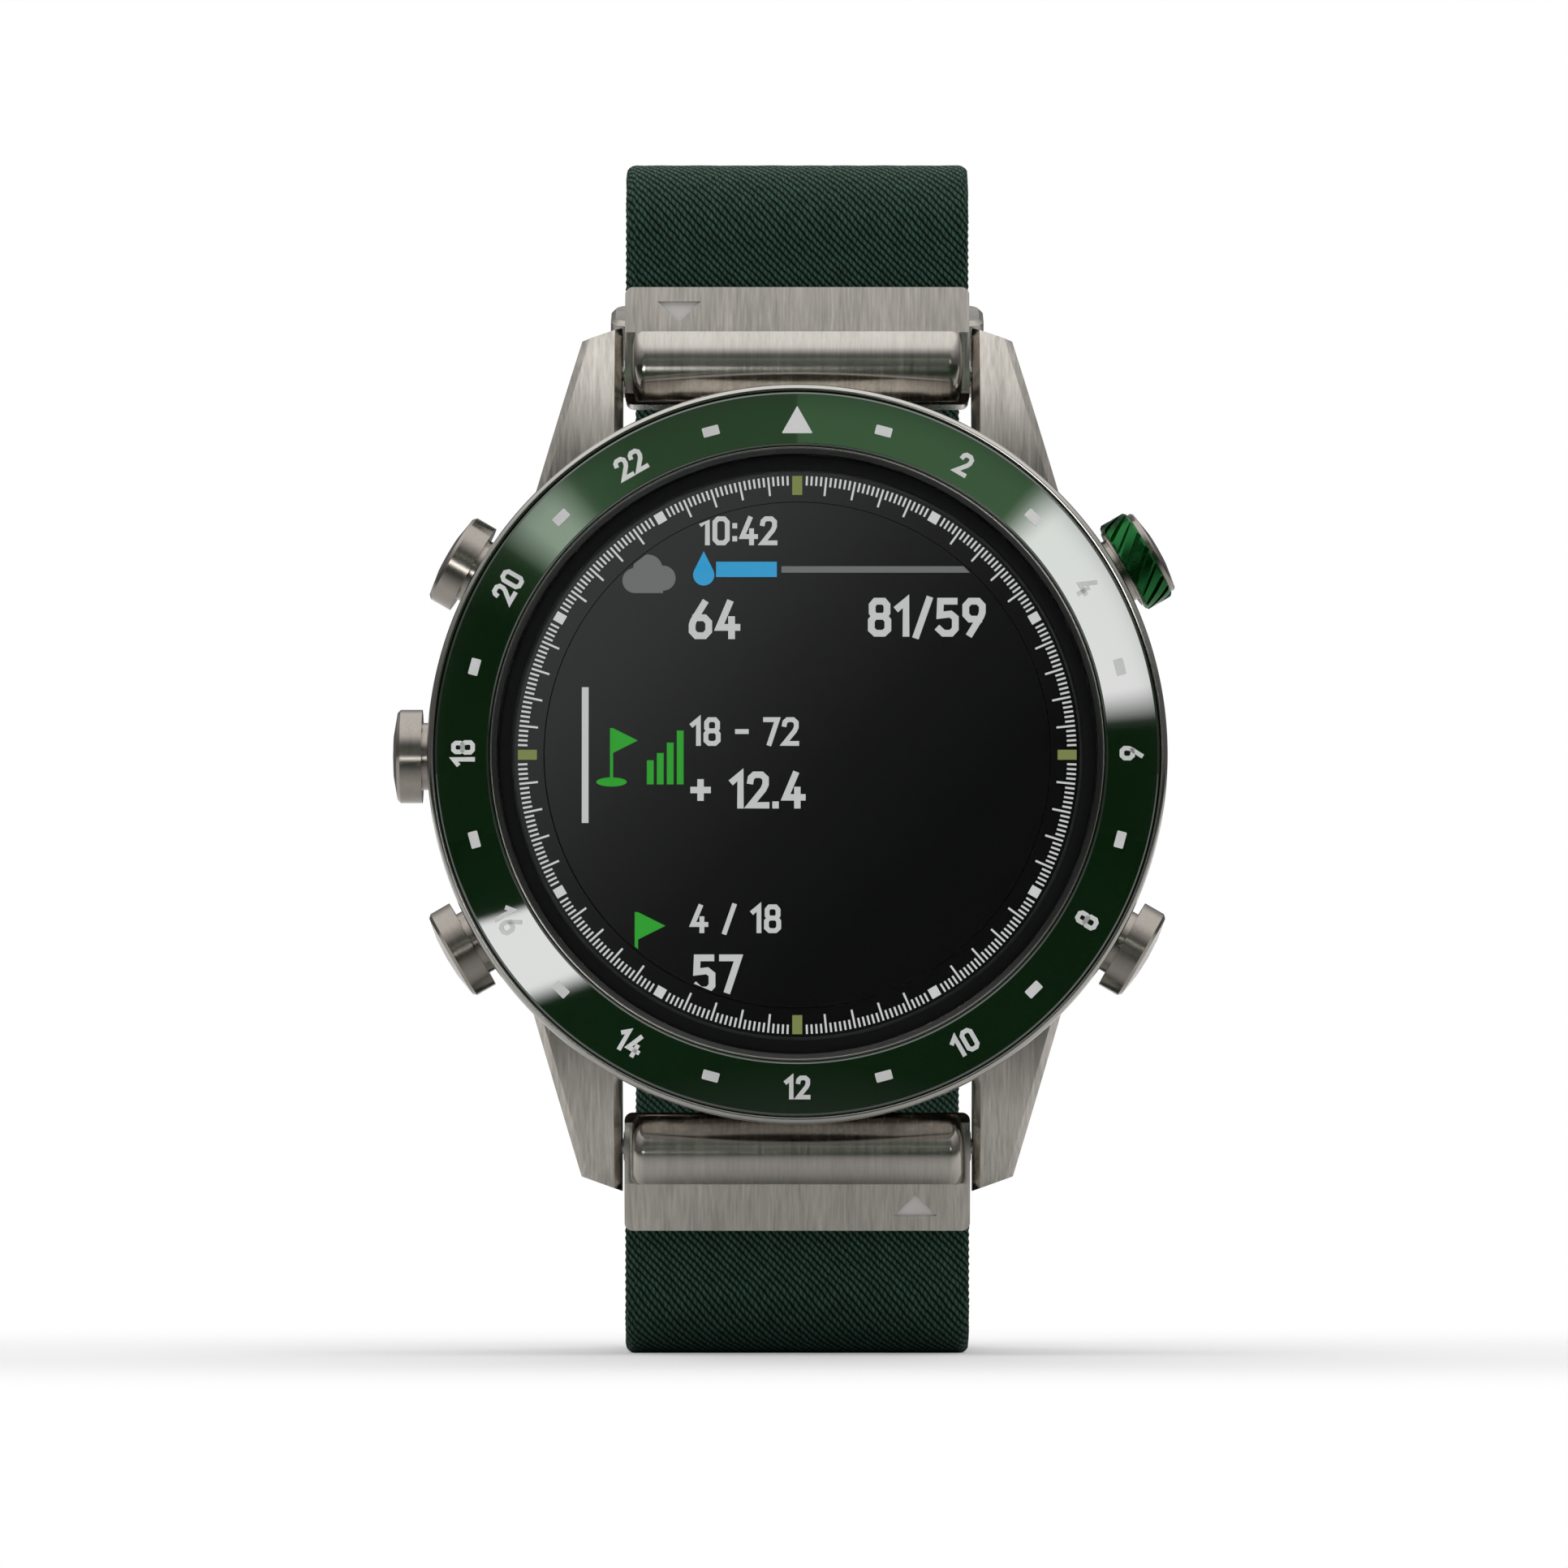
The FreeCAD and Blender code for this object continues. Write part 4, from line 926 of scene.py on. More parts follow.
def stroke(bm: Mesh, points: Points, closed: bool, wide: float, thick: float) -> None:
    """A flat ribbon of even width along a run of points, with mitred corners.

    Args:
        bm: the mesh that takes it.
        points: the run, in millimetres, with y up.
        closed: whether the last point joins the first.
        wide: the ribbon's width.
        thick: how far it stands up in z.
    """
    run = [Vector((x, y, 0.0)) for x, y in points]
    count = len(run)
    left: list[bmesh.types.BMVert] = []
    right: list[bmesh.types.BMVert] = []
    for i, here in enumerate(run):
        before = run[i - 1] if (closed or i > 0) else None
        after = run[(i + 1) % count] if (closed or i < count - 1) else None
        first = (here - before).normalized() if before else (after - here).normalized()
        second = (after - here).normalized() if after else first
        middle = (first + second).normalized()
        side = Vector((-middle.y, middle.x, 0.0))
        side *= wide / 2 / max(0.45, side.dot(Vector((-first.y, first.x, 0.0))))
        past = (-1.0 if before is None else 1.0 if after is None else 0.0) * wide / 2
        end = here + middle * past
        left.append(bm.verts.new(end + side))
        right.append(bm.verts.new(end - side))
    faces = []
    for i in range(count if closed else count - 1):
        j = (i + 1) % count
        faces.append(bm.faces.new((right[i], right[j], left[j], left[i])))
    grown = bmesh.ops.extrude_face_region(bm, geom=faces)
    top = [v for v in grown["geom"] if isinstance(v, bmesh.types.BMVert)]
    bmesh.ops.translate(bm, verts=top, vec=(0.0, 0.0, thick))
    bmesh.ops.recalc_face_normals(bm, faces=list({f for v in top + left + right for f in v.link_faces}))


def text_width(text: str, tall: float, weight: float) -> float:
    """Width in millimetres of a line of numerals of a height and a stroke's width."""
    scale = (tall - weight) * NARROW / CELL
    return sum(STROKES[c][0] * scale + weight * GAP for c in text) - weight * GAP


def draw_text(
    bm: Mesh,
    text: str,
    tall: float,
    weight: float,
    thick: float,
    left: float | None = None,
    base: float | None = None,
) -> None:
    """A line of numerals as flat ribbons.

    Args:
        bm: the mesh that takes it.
        text: the numerals.
        tall: height over all, in millimetres.
        weight: the strokes' width.
        thick: how far they stand up.
        left: where the line starts, or None to centre it.
        base: where it stands, or None to centre it.
    """
    scale = tall - weight
    x = -text_width(text, tall, weight) / 2 if left is None else left + weight / 2
    y = -scale / 2 if base is None else base + weight / 2
    for c in text:
        wide, strokes = STROKES[c]
        for points, closed in runs_of(strokes):
            placed = [(x + px * scale * NARROW, y + py * scale) for px, py in points]
            stroke(bm, placed, closed, weight, thick)
        x += wide / CELL * scale * NARROW + weight * GAP


@dataclass
class Dial:
    """Glass, minute track and the lit screen under it."""

    glass_r: float = 18.61
    glass_front: float = 0.75
    glass_back: float = 2.25
    glass_bevel: float = 0.15
    margin_r: float = 17.78
    margin_outer: float = 18.6
    margin_depths: tuple[float, float] = (1.72, 1.76)
    ring_inner: float = 15.8
    ring_wall: tuple[float, float] = (17.58, 17.79)
    ring_outer: float = 17.80
    ring_front: float = 2.30
    ring_back: float = 2.80
    screen_front: float = 2.30
    screen_r: float = 15.72
    screen_thick: float = 1.2
    tick_outer: float = 17.38
    tick_short: float = 0.58
    tick_long: float = 1.16
    tick_wide: float = 0.125
    tick_deep: float = 0.142
    hour_long: float = 0.66
    quarter_long: float = 1.18
    hour_wide: float = 0.62
    thick: float = 0.015
    # Each line's text, height, width of strokes, left end and foot
    lines: tuple[tuple[str, float, float, float, float], ...] = (
        ("10:42", 1.80, 0.30, -6.1, 13.05),
        ("64", 2.42, 0.42, -6.75, 7.2),
        ("81/59", 2.42, 0.42, 4.4, 7.35),
        ("18 - 72", 1.78, 0.30, -6.65, 0.55),
        ("+ 12.4", 2.30, 0.40, -6.65, -3.35),
        ("4 / 18", 1.78, 0.30, -6.65, -11.1),
        ("57", 2.42, 0.42, -6.5, -14.85),
    )
    # Left, right, foot and top of each box, and x, y and radius of each disc
    divider: tuple[float, float, float, float] = (-13.4, -12.98, -4.25, 4.2)
    grey_bar: tuple[float, float, float, float] = (-0.98, 12.0, 11.34, 11.74)
    cloud_foot: tuple[float, float, float, float] = (-10.1, -8.35, 10.07, 10.9)
    cloud: tuple[Triple, ...] = ((-10.1, 10.85, 0.78), (-9.3, 11.55, 0.92), (-8.35, 11.0, 0.78))
    blue_bar: tuple[float, float, float, float] = (-5.05, -1.27, 11.07, 12.02)
    drop: Triple = (-5.82, 11.2, 0.66)
    drop_tip: Points = ((-6.42, 11.48), (-5.22, 11.48), (-5.82, 12.68))
    flags: tuple[Triple, ...] = ((-11.55, -1.7, 0.86), (-10.0, -13.5, 0.95))
    level_tops: tuple[float, ...] = (-0.35, 0.1, 0.75, 1.5)

    def build(self) -> None:
        """Builds the glass, its black margin, the track and what the screen shows."""
        self._glass()
        self._ring()
        self._track()
        self._screen()

    def _glass(self) -> None:
        """Flat crystal with a bevelled rim, and the black margin printed under it."""
        section = [
            (0.0, self.glass_front),
            (self.glass_r - self.glass_bevel, self.glass_front),
            (self.glass_r, self.glass_front + self.glass_bevel),
            (self.glass_r, self.glass_back),
            (0.0, self.glass_back),
        ]
        piece("crystal_glass", spun(section), CRYSTAL, "watch", ["crystal"], 30.0)
        bm = spun(self._band(self.margin_r, self.margin_outer, *self.margin_depths), 0.01)
        piece("crystal_black_margin", bm, DIAL_BLACK, "watch")

    def _band(self, inner: float, outer: float, front: float, back: float) -> Points:
        """The section of a flat ring between two radii and two depths."""
        return [(inner, front), (outer, front), (outer, back), (inner, back)]

    def _ring(self) -> None:
        """Ring under the glass with its fine raised wall."""
        wall, outer = self.ring_wall
        section = [
            (self.ring_inner, self.ring_front + 0.16),
            (17.42, self.ring_front + 0.15),
            (17.62, self.ring_front + 0.01),
            (self.ring_outer, self.ring_front + 0.01),
            (self.ring_outer, self.ring_back),
            (self.ring_inner, self.ring_back),
        ]
        bm = spun(section, 0.02, 288)
        piece("minute_track_ring", bm, SCREEN_BLACK, "watch", ["minute_ring"])
        bm = spun(self._band(wall, outer, self.ring_front, self.ring_front + 0.05), 0.015, 288)
        piece("minute_ring_edge", bm, CHAMFER_GREY, "watch")

    def _tick(self, bm: Mesh, long: float, wide: float, angle: float) -> None:
        """A thin plate along the radius, from the track's outer circle inwards.

        Args:
            bm: the mesh that takes it.
            long: its length.
            wide: its width.
            angle: its clock angle.
        """
        size = Vector((wide, self.thick, long)) * MM
        made = block(bm, size, (0.0, 0.0, (self.tick_outer - long / 2) * MM))
        lay(bm, made, "Y", math.radians(angle), at(0.0, 0.0, self.ring_front + self.tick_deep))

    def _track(self) -> None:
        """A tick for each degree, longer every six, squares at the hours and olive bars at the quarters."""
        white = bmesh.new()
        olive = bmesh.new()
        for degree in range(360):
            if min(degree % 30, 30 - degree % 30) > 1:
                self._tick(white, self.tick_short if degree % 6 else self.tick_long, self.tick_wide, degree)
        for hour in range(12):
            if hour % 3:
                self._tick(white, self.hour_long, self.hour_wide, 30.0 * hour)
            else:
                self._tick(olive, self.quarter_long, self.hour_wide, 30.0 * hour)
        piece("minute_ticks", white, TRACK_WHITE, "watch", (), 30.0)
        piece("quarter_marks", olive, TRACK_OLIVE, "watch", (), 30.0)

    def _show(self, name: str, bm: Mesh, kind: Lit, sides: int = 48) -> None:
        """Cuts a drawing to the round screen and lays it on the screen's face.

        Args:
            name: the piece's name.
            bm: what is drawn, in millimetres with y up.
            kind: its finish.
            sides: how many straight cuts stand for the circle.
        """
        for step in range(sides):
            turn = math.tau * step / sides
            out = Vector((math.cos(turn), math.sin(turn), 0.0))
            bmesh.ops.bisect_plane(
                bm,
                geom=bm.verts[:] + bm.edges[:] + bm.faces[:],
                plane_co=out * (self.screen_r - 0.1),
                plane_no=out,
                clear_outer=True,
            )
        for vert in bm.verts:
            x, y, z = vert.co
            vert.co = at(x, y, self.screen_front - z)
        piece(name, bm, kind, "watch")

    def _box(self, bm: Mesh, left: float, right: float, low: float, high: float) -> None:
        """A flat rectangle in the drawing plane.

        Args:
            bm: the mesh that takes it.
            left: its left side.
            right: its right side.
            low: its foot.
            high: its top.
        """
        middle = ((left + right) / 2, (low + high) / 2, self.thick / 2)
        block(bm, (right - left, high - low, self.thick), middle)

    def _disc(
        self, bm: Mesh, x: float, y: float, radius: float, lift: float = 0.0, flat: float = 1.0
    ) -> None:
        """A flat disc in the drawing plane.

        Args:
            bm: the mesh that takes it.
            x: its centre's place across.
            y: its centre's height.
            radius: its radius.
            lift: how far it stands in front of the others.
            flat: its height as a share of its width.
        """
        made = rod(bm, radius, self.thick, 40 if flat == 1.0 else 32)
        bmesh.ops.scale(bm, verts=made, vec=(1.0, flat, 1.0))
        bmesh.ops.translate(bm, verts=made, vec=(x, y, self.thick / 2 + lift))

    def _tip(self, bm: Mesh, corners: Points) -> None:
        """A flat triangle in front of the drawing plane."""
        bm.faces.new([bm.verts.new((x, y, self.thick)) for x, y in corners])

    def _screen(self) -> None:
        """The dark panel, its figures, bars and icons."""
        section = self._band(0.0, self.screen_r, self.screen_front, self.screen_front + self.screen_thick)
        bm = spun(section, 0.0, 144)
        piece("screen_panel", bm, SCREEN_BLACK, "watch", ["screen"])
        white, grey, blue, green = (bmesh.new() for _ in range(4))
        for text, tall, weight, left, base in self.lines:
            draw_text(white, text, tall, weight, self.thick, left, base)
        self._box(white, *self.divider)
        self._show("screen_figures", white, TEXT_WHITE)
        self._box(grey, *self.grey_bar)
        for x, y, radius in self.cloud:
            self._disc(grey, x, y, radius, self.thick * x * -0.02)
        self._box(grey, *self.cloud_foot)
        self._show("screen_grey_bar_and_cloud", grey, ICON_GREY)
        self._box(blue, *self.blue_bar)
        self._disc(blue, *self.drop)
        self._tip(blue, self.drop_tip)
        self._show("screen_blue_bar_and_drop", blue, BAR_BLUE)
        for x, y, size in self.flags:
            self._flag(green, x, y, size)
        for i, high in enumerate(self.level_tops):
            left = -9.35 + 0.62 * i
            self._box(green, left, left + 0.42, -1.85, high)
        self._show("screen_green_icons", green, ICON_GREEN)

    def _flag(self, bm: Mesh, x: float, y: float, size: float) -> None:
        """A flag on a pin standing in its hole.

        Args:
            bm: the mesh that takes it.
            x: the pin's place across.
            y: the pin's foot.
            size: its scale, 1 for a pin 3.9 high.
        """
        self._box(bm, x - 0.11 * size, x + 0.11 * size, y, y + 3.9 * size)
        self._tip(bm, [(x + px * size, y + py * size) for px, py in ((0.1, 3.9), (0.1, 2.1), (1.9, 3.0))])
        self._disc(bm, x, y, 1.1 * size, 0.0, 0.3)


@dataclass
class Case:
    """Case barrel with lugs, back cover and what shows on it."""

    edge: float = 0.14

    def build(self) -> None:
        """Rounds the edges of the metal nodes and dresses the rest."""
        bm = eased_copy("case_body", self.edge, 2, 28.0)
        piece("case_and_lugs", bm, TITANIUM, "watch", ["case_body"], 30.0)
        dress(["case_back"], BACK_METAL)
        dress(["back_screws", "pusher_tubes", "upper_lug_pin", "lower_lug_pin"], STEEL)
        dress(["sensor_window"], WINDOW)
        dress(["charge_contacts"], GOLD)
        dress(["crystal_gasket", "back_gasket"], SEAL)
        dress(["display_frame", "sensor_chips"], INNER_PLASTIC)
        dress(["gps_antenna"], COPPER)
        dress(["main_board", "sensor_board"], BOARD)
        dress(["battery"], FOIL)
        dress(["shield_can", "vibration_motor", "beeper", "side_switches"], TIN)


@dataclass
class Pushers:
    """The five pushers round the case."""

    plain: tuple[str, ...] = ("light", "up", "down", "back")

    def build(self) -> None:
        """Dresses the plain pushers, the start pusher and their springs."""
        dress([f"{name}_pusher" for name in self.plain], PUSHER_TITANIUM_SHADED)
        dress([f"{name}_pusher_spring" for name in (*self.plain, "start")], STEEL)
        dress(["start_pusher_core"], PUSHER_TITANIUM_SHADED)
        dress(["start_pusher_ring"], GREEN_ALLOY)


@dataclass
class EndPieces:
    """Crowned metal pieces that join the strap to the lug pins, with their latches."""

    crown_low: float = 22.2
    crown_high: float = 26.75
    latch_travel: float = 2.1
    solid_share: float = 0.04
    mark_x: float = -7.4
    mark_height: float = 28.0
    mark_wide: float = 2.7
    mark_tall: float = 1.35
    shell_edge: float = 0.12
    latch_edge: float = 0.06

    def build(self) -> None:
        """Rounds and dresses each end piece and its latch."""
        for side, turn in (("upper", 1.0), ("lower", -1.0)):
            node = f"{side}_end_piece"
            bm = eased_copy(node, self.shell_edge, 3, 32.0)
            shell = piece(f"{side}_end_shell", bm, TITANIUM, f"{side}_end", [node], 35.0)
            self._polish(shell, turn)
            node = f"{side}_latch"
            bm = eased_copy(node, self.latch_edge)
            piece(f"{side}_latch_slider", bm, TITANIUM_ACROSS, node, [node])
            self._springs(side, turn)
            dress([f"{side}_strap_rod"], STEEL)

    def _springs(self, side: str, turn: float) -> None:
        """Springs that stand on the end piece; how far they would shorten at the latch's full travel is
        worked out but not applied.

        Args:
            side: which end piece holds them.
            turn: not used; 1 for the upper side, -1 for the lower one.
        """
        node = f"{side}_latch_springs"
        heights = [v.co.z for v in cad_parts[node].data.vertices]
        low, high = min(heights), max(heights)
        bm = eased_copy(node, 0.0)
        thing = piece(f"{side}_latch_spring_pair", bm, STEEL, f"{side}_end", [node])
        keep = max(self.solid_share, 1.0 - self.latch_travel * MM / (high - low))
        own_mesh(thing)

    def _polish(self, shell: bpy.types.Object, turn: float) -> None:
        """Gives the crown a finer finish than the flats, and the recessed triangle a pale floor.

        Args:
            shell: the end piece.
            turn: 1 for the upper side, -1 for the lower one.
        """
        shell.data.materials.append(finish(TITANIUM_FINE))
        shell.data.materials.append(finish(PALE_MARK))
        for face in shell.data.polygons:
            height = turn * (face.center.z / MM - DIAL_Z)
            if self.crown_low < height < self.crown_high and face.normal.y < -0.05:
                face.material_index = 1
            corners = [shell.data.vertices[i].co / MM for i in face.vertices]
            inside = all(
                abs(c.x - self.mark_x * turn) < self.mark_wide / 2 + 0.1
                and abs(turn * (c.z - DIAL_Z) - self.mark_height) < self.mark_tall / 2 + 0.1
                for c in corners
            )
            if inside and face.normal.y < -0.9:
                face.material_index = 2


class Side(Enum):
    """The two halves of the strap."""

    UPPER = 1
    LOWER = -1


@dataclass
class Route:
    """The strap's centre line seen from the side: straight runs joined by arcs."""

    corners: list[tuple[float, float]]
    radii: Sequence[float]
    pieces: list[tuple[float, Callable[[float], tuple[Vector, Vector]]]] = field(default_factory=list)
    length: float = 0.0

    def __post_init__(self) -> None:
        """Works out the straight runs and the arcs between them."""
        points = [Vector(c) for c in self.corners]
        last = points[0]
        for i, radius in enumerate(self.radii):
            before = (points[i + 1] - points[i]).normalized()
            after = (points[i + 2] - points[i + 1]).normalized()
            turn = before.angle_signed(after)
            reach = abs(radius * math.tan(turn / 2))
            start = points[i + 1] - before * reach
            self._straight(last, start)
            self._arc(start, before, radius, -turn)
            last = points[i + 1] + after * reach
        self._straight(last, points[-1])

    def _straight(self, start: Vector, end: Vector) -> None:
        """Adds a straight run.

        Args:
            start: where it starts.
            end: where it ends.
        """
        along = (end - start).normalized()
        normal = Vector((along.y, -along.x))
        self._add((end - start).length, lambda t, a=start, u=along, n=normal: (a + u * t, n))

    def _arc(self, start: Vector, along: Vector, radius: float, turn: float) -> None:
        """Adds an arc.

        Args:
            start: where it starts.
            along: its heading there.
            radius: its radius.
            turn: how far it turns, in radians.
        """
        side = 1.0 if turn > 0 else -1.0
        centre = start + Vector((-along.y, along.x)) * radius * side

        def point(t: float) -> tuple[Vector, Vector]:
            """The point and the normal at a distance along the arc."""
            spin = Matrix.Rotation(side * t / radius, 2)
            heading = spin @ along
            return centre + spin @ (start - centre), Vector((heading.y, -heading.x))

        self._add(radius * abs(turn), point)

    def _add(self, length: float, point: Callable[[float], tuple[Vector, Vector]]) -> None:
        """Keeps a piece of the line with the length at which it starts."""
        self.pieces.append((self.length, point))
        self.length += length

    def at(self, distance: float) -> tuple[Vector, Vector]:
        """Finds a place on the line.

        Args:
            distance: how far along it is.

        Returns:
            The point (height, depth) and the normal there.
        """
        start, point = self.pieces[0]
        for piece_start, candidate in self.pieces:
            if piece_start <= distance:
                start, point = piece_start, candidate
        return point(distance - start)


@dataclass
class Strap:
    """Two halves of green webbing in their closed curve, with folds, holes and stitching."""

    width: float = 21.5
    thick: float = 1.6
    edge_round: float = 0.55
    row: float = 0.11
    edge_bump: float = 0.07
    bump_pitch: float = 0.46
    bump_shift: float = 1.3
    # Height, and turns along and across, of the faint waves in the webbing
    waves: tuple[Triple, ...] = ((0.02, 2.9, 0.8), (0.015, 7.3, -1.9))
    slot_deep: float = 4.0
    slot_ease: float = 3.0
    slot_squeeze: float = 0.80
    bead: tuple[float, float] = (27.3, 9.2)
    top: float = 37.1
    foot: float = -36.5
    foot_back: float = 43.0
    exit_slope: float = 0.05
    heel: tuple[float, float] = (-1.0, 50.4)
    strap_line: float = 51.0
    tail_line: float = 53.0
    slant_height: float = 15.0
    slant_drop: float = 6.5
    buckle_length: float = 10.6
    buckle_straight: float = 0.9
    lower_slant: float = 10.4
    upper_radii: tuple[float, ...] = (4.5, 5.0, 16.0)
    lower_radii: tuple[float, ...] = (3.6, 7.0, 10.0, 8.0, 8.0, 18.0)
    tail_start: float = 1.0
    tail_length: float = 22.0
    tail_round: float = 8.0
    # Height above the heel bar, width and length of each slot
    notch: Triple = (0.4, 3.2, 5.7)
    tongue_slot: Triple = (-3.9, 3.2, 8.2)
    hole: tuple[float, float] = (1.7, 2.8)
    hole_pitch: float = 6.0
    holes: int = 3
    cut_line: float = 51.6
    cut_deep: float = 7.0
    fold_r: float = 1.5
    stitch_rows: tuple[float, ...] = (3.4, 5.0)
    stitch_count: int = 17
    stitch_pitch: float = 1.15
    stitch_size: Triple = (0.42, 0.11, 0.15)
    stitch_lift: float = 0.03
    stitch_clear: float = 0.4

    def build(self) -> None:
        """Builds both halves, the fold round the heel bar and the stitching."""
        upper, lower = self._routes()
        self._half(Side.UPPER, upper, 0.0, [self.notch])
        holes = [(self.hole_pitch * (i + 1), *self.hole) for i in range(self.holes)]
        self._half(Side.LOWER, lower, self.tail_round, [self.tongue_slot, *holes])
        self._fold()
        self._stitches(upper)

    def _routes(self) -> tuple[Route, Route]:
        """Works out where the strap runs.

        Returns:
            The centre lines of the upper and the lower half.
        """
        slant = math.atan2(self.slant_drop, self.top - self.slant_height)
        bend = (self.slant_height + (self.tail_line - self.strap_line) * math.tan(slant / 2), self.tail_line)
        end = (bend[0] + self.tail_length * math.cos(slant), bend[1] - self.tail_length * math.sin(slant))
        top_out = self.bead[1] + self.exit_slope * (self.top - self.bead[0])
        foot_out = self.bead[1] + self.exit_slope * (-self.foot - self.bead[0])
        upper = [
            self.bead,
            (self.top, top_out),
            (self.top, self.strap_line - self.slant_drop),
            (self.slant_height, self.strap_line),
            (self.heel[0], self.strap_line),
        ]
        buckle_end = self.heel[0] - self.buckle_length
        lower = [
            (-self.bead[0], self.bead[1]),
            (self.foot, foot_out),
            (self.foot, self.foot_back),
            (buckle_end - self.lower_slant, self.heel[1]),
            (buckle_end - self.buckle_straight, self.heel[1]),
            (self.heel[0] - self.tail_start, self.tail_line),
            bend,
            end,
        ]
        return Route(upper, self.upper_radii), Route(lower, self.lower_radii)

    def _outline(self, columns: int = 26, corner: int = 4) -> list[Triple]:
        """The strap's cross section with rounded edges.

        Args:
            columns: how many steps each flat side has.
            corner: how many steps each corner has.

        Returns:
            Points as (across, out, distance round the section).
        """
        half, rise, r = self.width / 2, self.thick / 2, self.edge_round
        flat = half - r
        line: list[tuple[float, float]] = []
        for sign in (1.0, -1.0):
            line += [(sign * (-flat + 2 * flat * i / columns), sign * rise) for i in range(columns)]
            for start, centre in ((90.0, rise - r), (0.0, -(rise - r))):
                for i in range(corner):
                    turn = math.radians(start - 90.0 * i / corner)
                    line.append((sign * (flat + r * math.cos(turn)), sign * (centre + r * math.sin(turn))))
        line.append(line[0])
        result = [(*line[0], 0.0)]
        for last, (x, out) in zip(line, line[1:]):
            result.append((x, out, result[-1][2] + math.dist(last, (x, out))))
        return result

    def _spot(self, side: Side, route: Route, along: float, x: float, out: float, tail: float) -> Vector:
        """Carries a point of the flat strap to its place on the closed curve.

        Args:
            side: which half it is on.
            route: that half's centre line.
            along: how far along the half it lies.
            x: its place across.
            out: how far it stands from the centre line.
            tail: corner radius of the half's free end, or 0.

        Returns:
            The place in metres.
        """
        half = self.width / 2
        back = max(0.0, tail - (route.length - along))
        inset = tail - math.sqrt(max(0.0, tail * tail - back * back))
        ripple = math.sin(math.pi * along / self.bump_pitch + (self.bump_shift if x > 0 else 0.0))
        edge = max(0.0, abs(x) - (half - self.edge_round)) / self.edge_round
        x = x * (half - inset) / half + math.copysign(edge * self.edge_bump * (abs(ripple) - 1.0), x)
        lift = sum(high * math.sin(a * along + b * x) for high, a, b in self.waves)
        free = min(1.0, max(0.0, (along - self.slot_deep) / self.slot_ease))
        level = out * (self.slot_squeeze + (1.0 - self.slot_squeeze) * free)
        centre, normal = route.at(along)
        spot = centre + normal * side.value * (level + math.copysign(lift * free, out))
        return at(x, spot[0], spot[1])

    def _half(self, side: Side, route: Route, tail: float, slots: Sequence[Triple]) -> None:
        """One half of the strap, wrapped from a flat grid round its centre line.

        Args:
            side: which half it is.
            route: its centre line.
            tail: corner radius of its free end, or 0.
            slots: (height above the heel bar, width, length) of what is cut through it.
        """
        ring = self._outline()
        columns = len(ring) - 1
        rows = int(route.length / self.row)
        bm = bmesh.new()
        layer = bm.loops.layers.uv.new("weave")
        bmesh.ops.create_grid(bm, x_segments=columns, y_segments=rows, size=1.0)
        place = {v: (round((v.co.x + 1) / 2 * columns), round((v.co.y + 1) / 2 * rows)) for v in bm.verts}
        for loop in (loop for face in bm.faces for loop in face.loops):
            i, j = place[loop.vert]
            loop[layer].uv = (ring[i][2] - self.width / 2, side.value * j * route.length / rows)
        for vert, (i, j) in place.items():
            vert.co = self._spot(side, route, j * route.length / rows, ring[i][0], ring[i][1], tail)
        bmesh.ops.remove_doubles(bm, verts=bm.verts, dist=2e-6)
        bmesh.ops.holes_fill(bm, edges=[e for e in bm.edges if e.is_boundary], sides=0)
        bmesh.ops.recalc_face_normals(bm, faces=bm.faces)
        node = f"{side.name.lower()}_strap"
        thing = piece(f"{node}_webbing", bm, STRAP_WEAVE, "watch", [node], 60.0)
        self._cut(thing, slots)

    def _cutter(self, slots: Sequence[Triple]) -> Mesh:
        """Round-ended blocks that reach through the strap behind the head.

        Args:
            slots: (height above the heel bar, width, length) of each.

        Returns:
            The blocks in one mesh.
        """
        bm = bmesh.new()
        for height, wide, tall in slots:
            reach = max(0.0, tall - wide) / 2
            ends = []
            for end in (-reach, reach):
                made = rod(bm, wide / 2 * MM, self.cut_deep * MM, 20)
                lay(bm, made, "X", math.pi / 2, at(0.0, self.heel[0] + height + end, self.cut_line))
                ends += made
            hull = bmesh.ops.convex_hull(bm, input=ends)
            inside = hull["geom_interior"] + hull["geom_unused"]
            spare = [g for g in inside if g.is_valid and isinstance(g, bmesh.types.BMVert)]
            bmesh.ops.delete(bm, geom=spare, context="VERTS")
        bmesh.ops.remove_doubles(bm, verts=bm.verts, dist=1e-6)
        inner = [f for f in bm.faces if all(len(e.link_faces) > 2 for e in f.edges)]
        bmesh.ops.delete(bm, geom=inner, context="FACES")
        bmesh.ops.recalc_face_normals(bm, faces=bm.faces)
        return bm

    def _cut(self, thing: bpy.types.Object, slots: Sequence[Triple]) -> None:
        """Cuts round-ended slots through the strap behind the head.

        Args:
            thing: the strap half.
            slots: (height above the heel bar, width, length) of each.
        """
        bm = self._cutter(slots)
        mesh = bpy.data.meshes.new("strap_cutter")
        bm.to_mesh(mesh)
        bm.free()
        cutter = bpy.data.objects.new("strap_cutter", mesh)
        bpy.context.scene.collection.objects.link(cutter)
        blade = thing.modifiers.new("slots", "BOOLEAN")
        blade.operation = "DIFFERENCE"
        blade.solver = "EXACT"
        blade.object = cutter
        graph = bpy.context.evaluated_depsgraph_get()
        cut = bpy.data.meshes.new_from_object(thing.evaluated_get(graph))
        thing.modifiers.clear()
        thing.data = cut
        bpy.data.objects.remove(cutter)
        LOG.info("%s: %d faces after the slots", thing.name, len(cut.polygons))

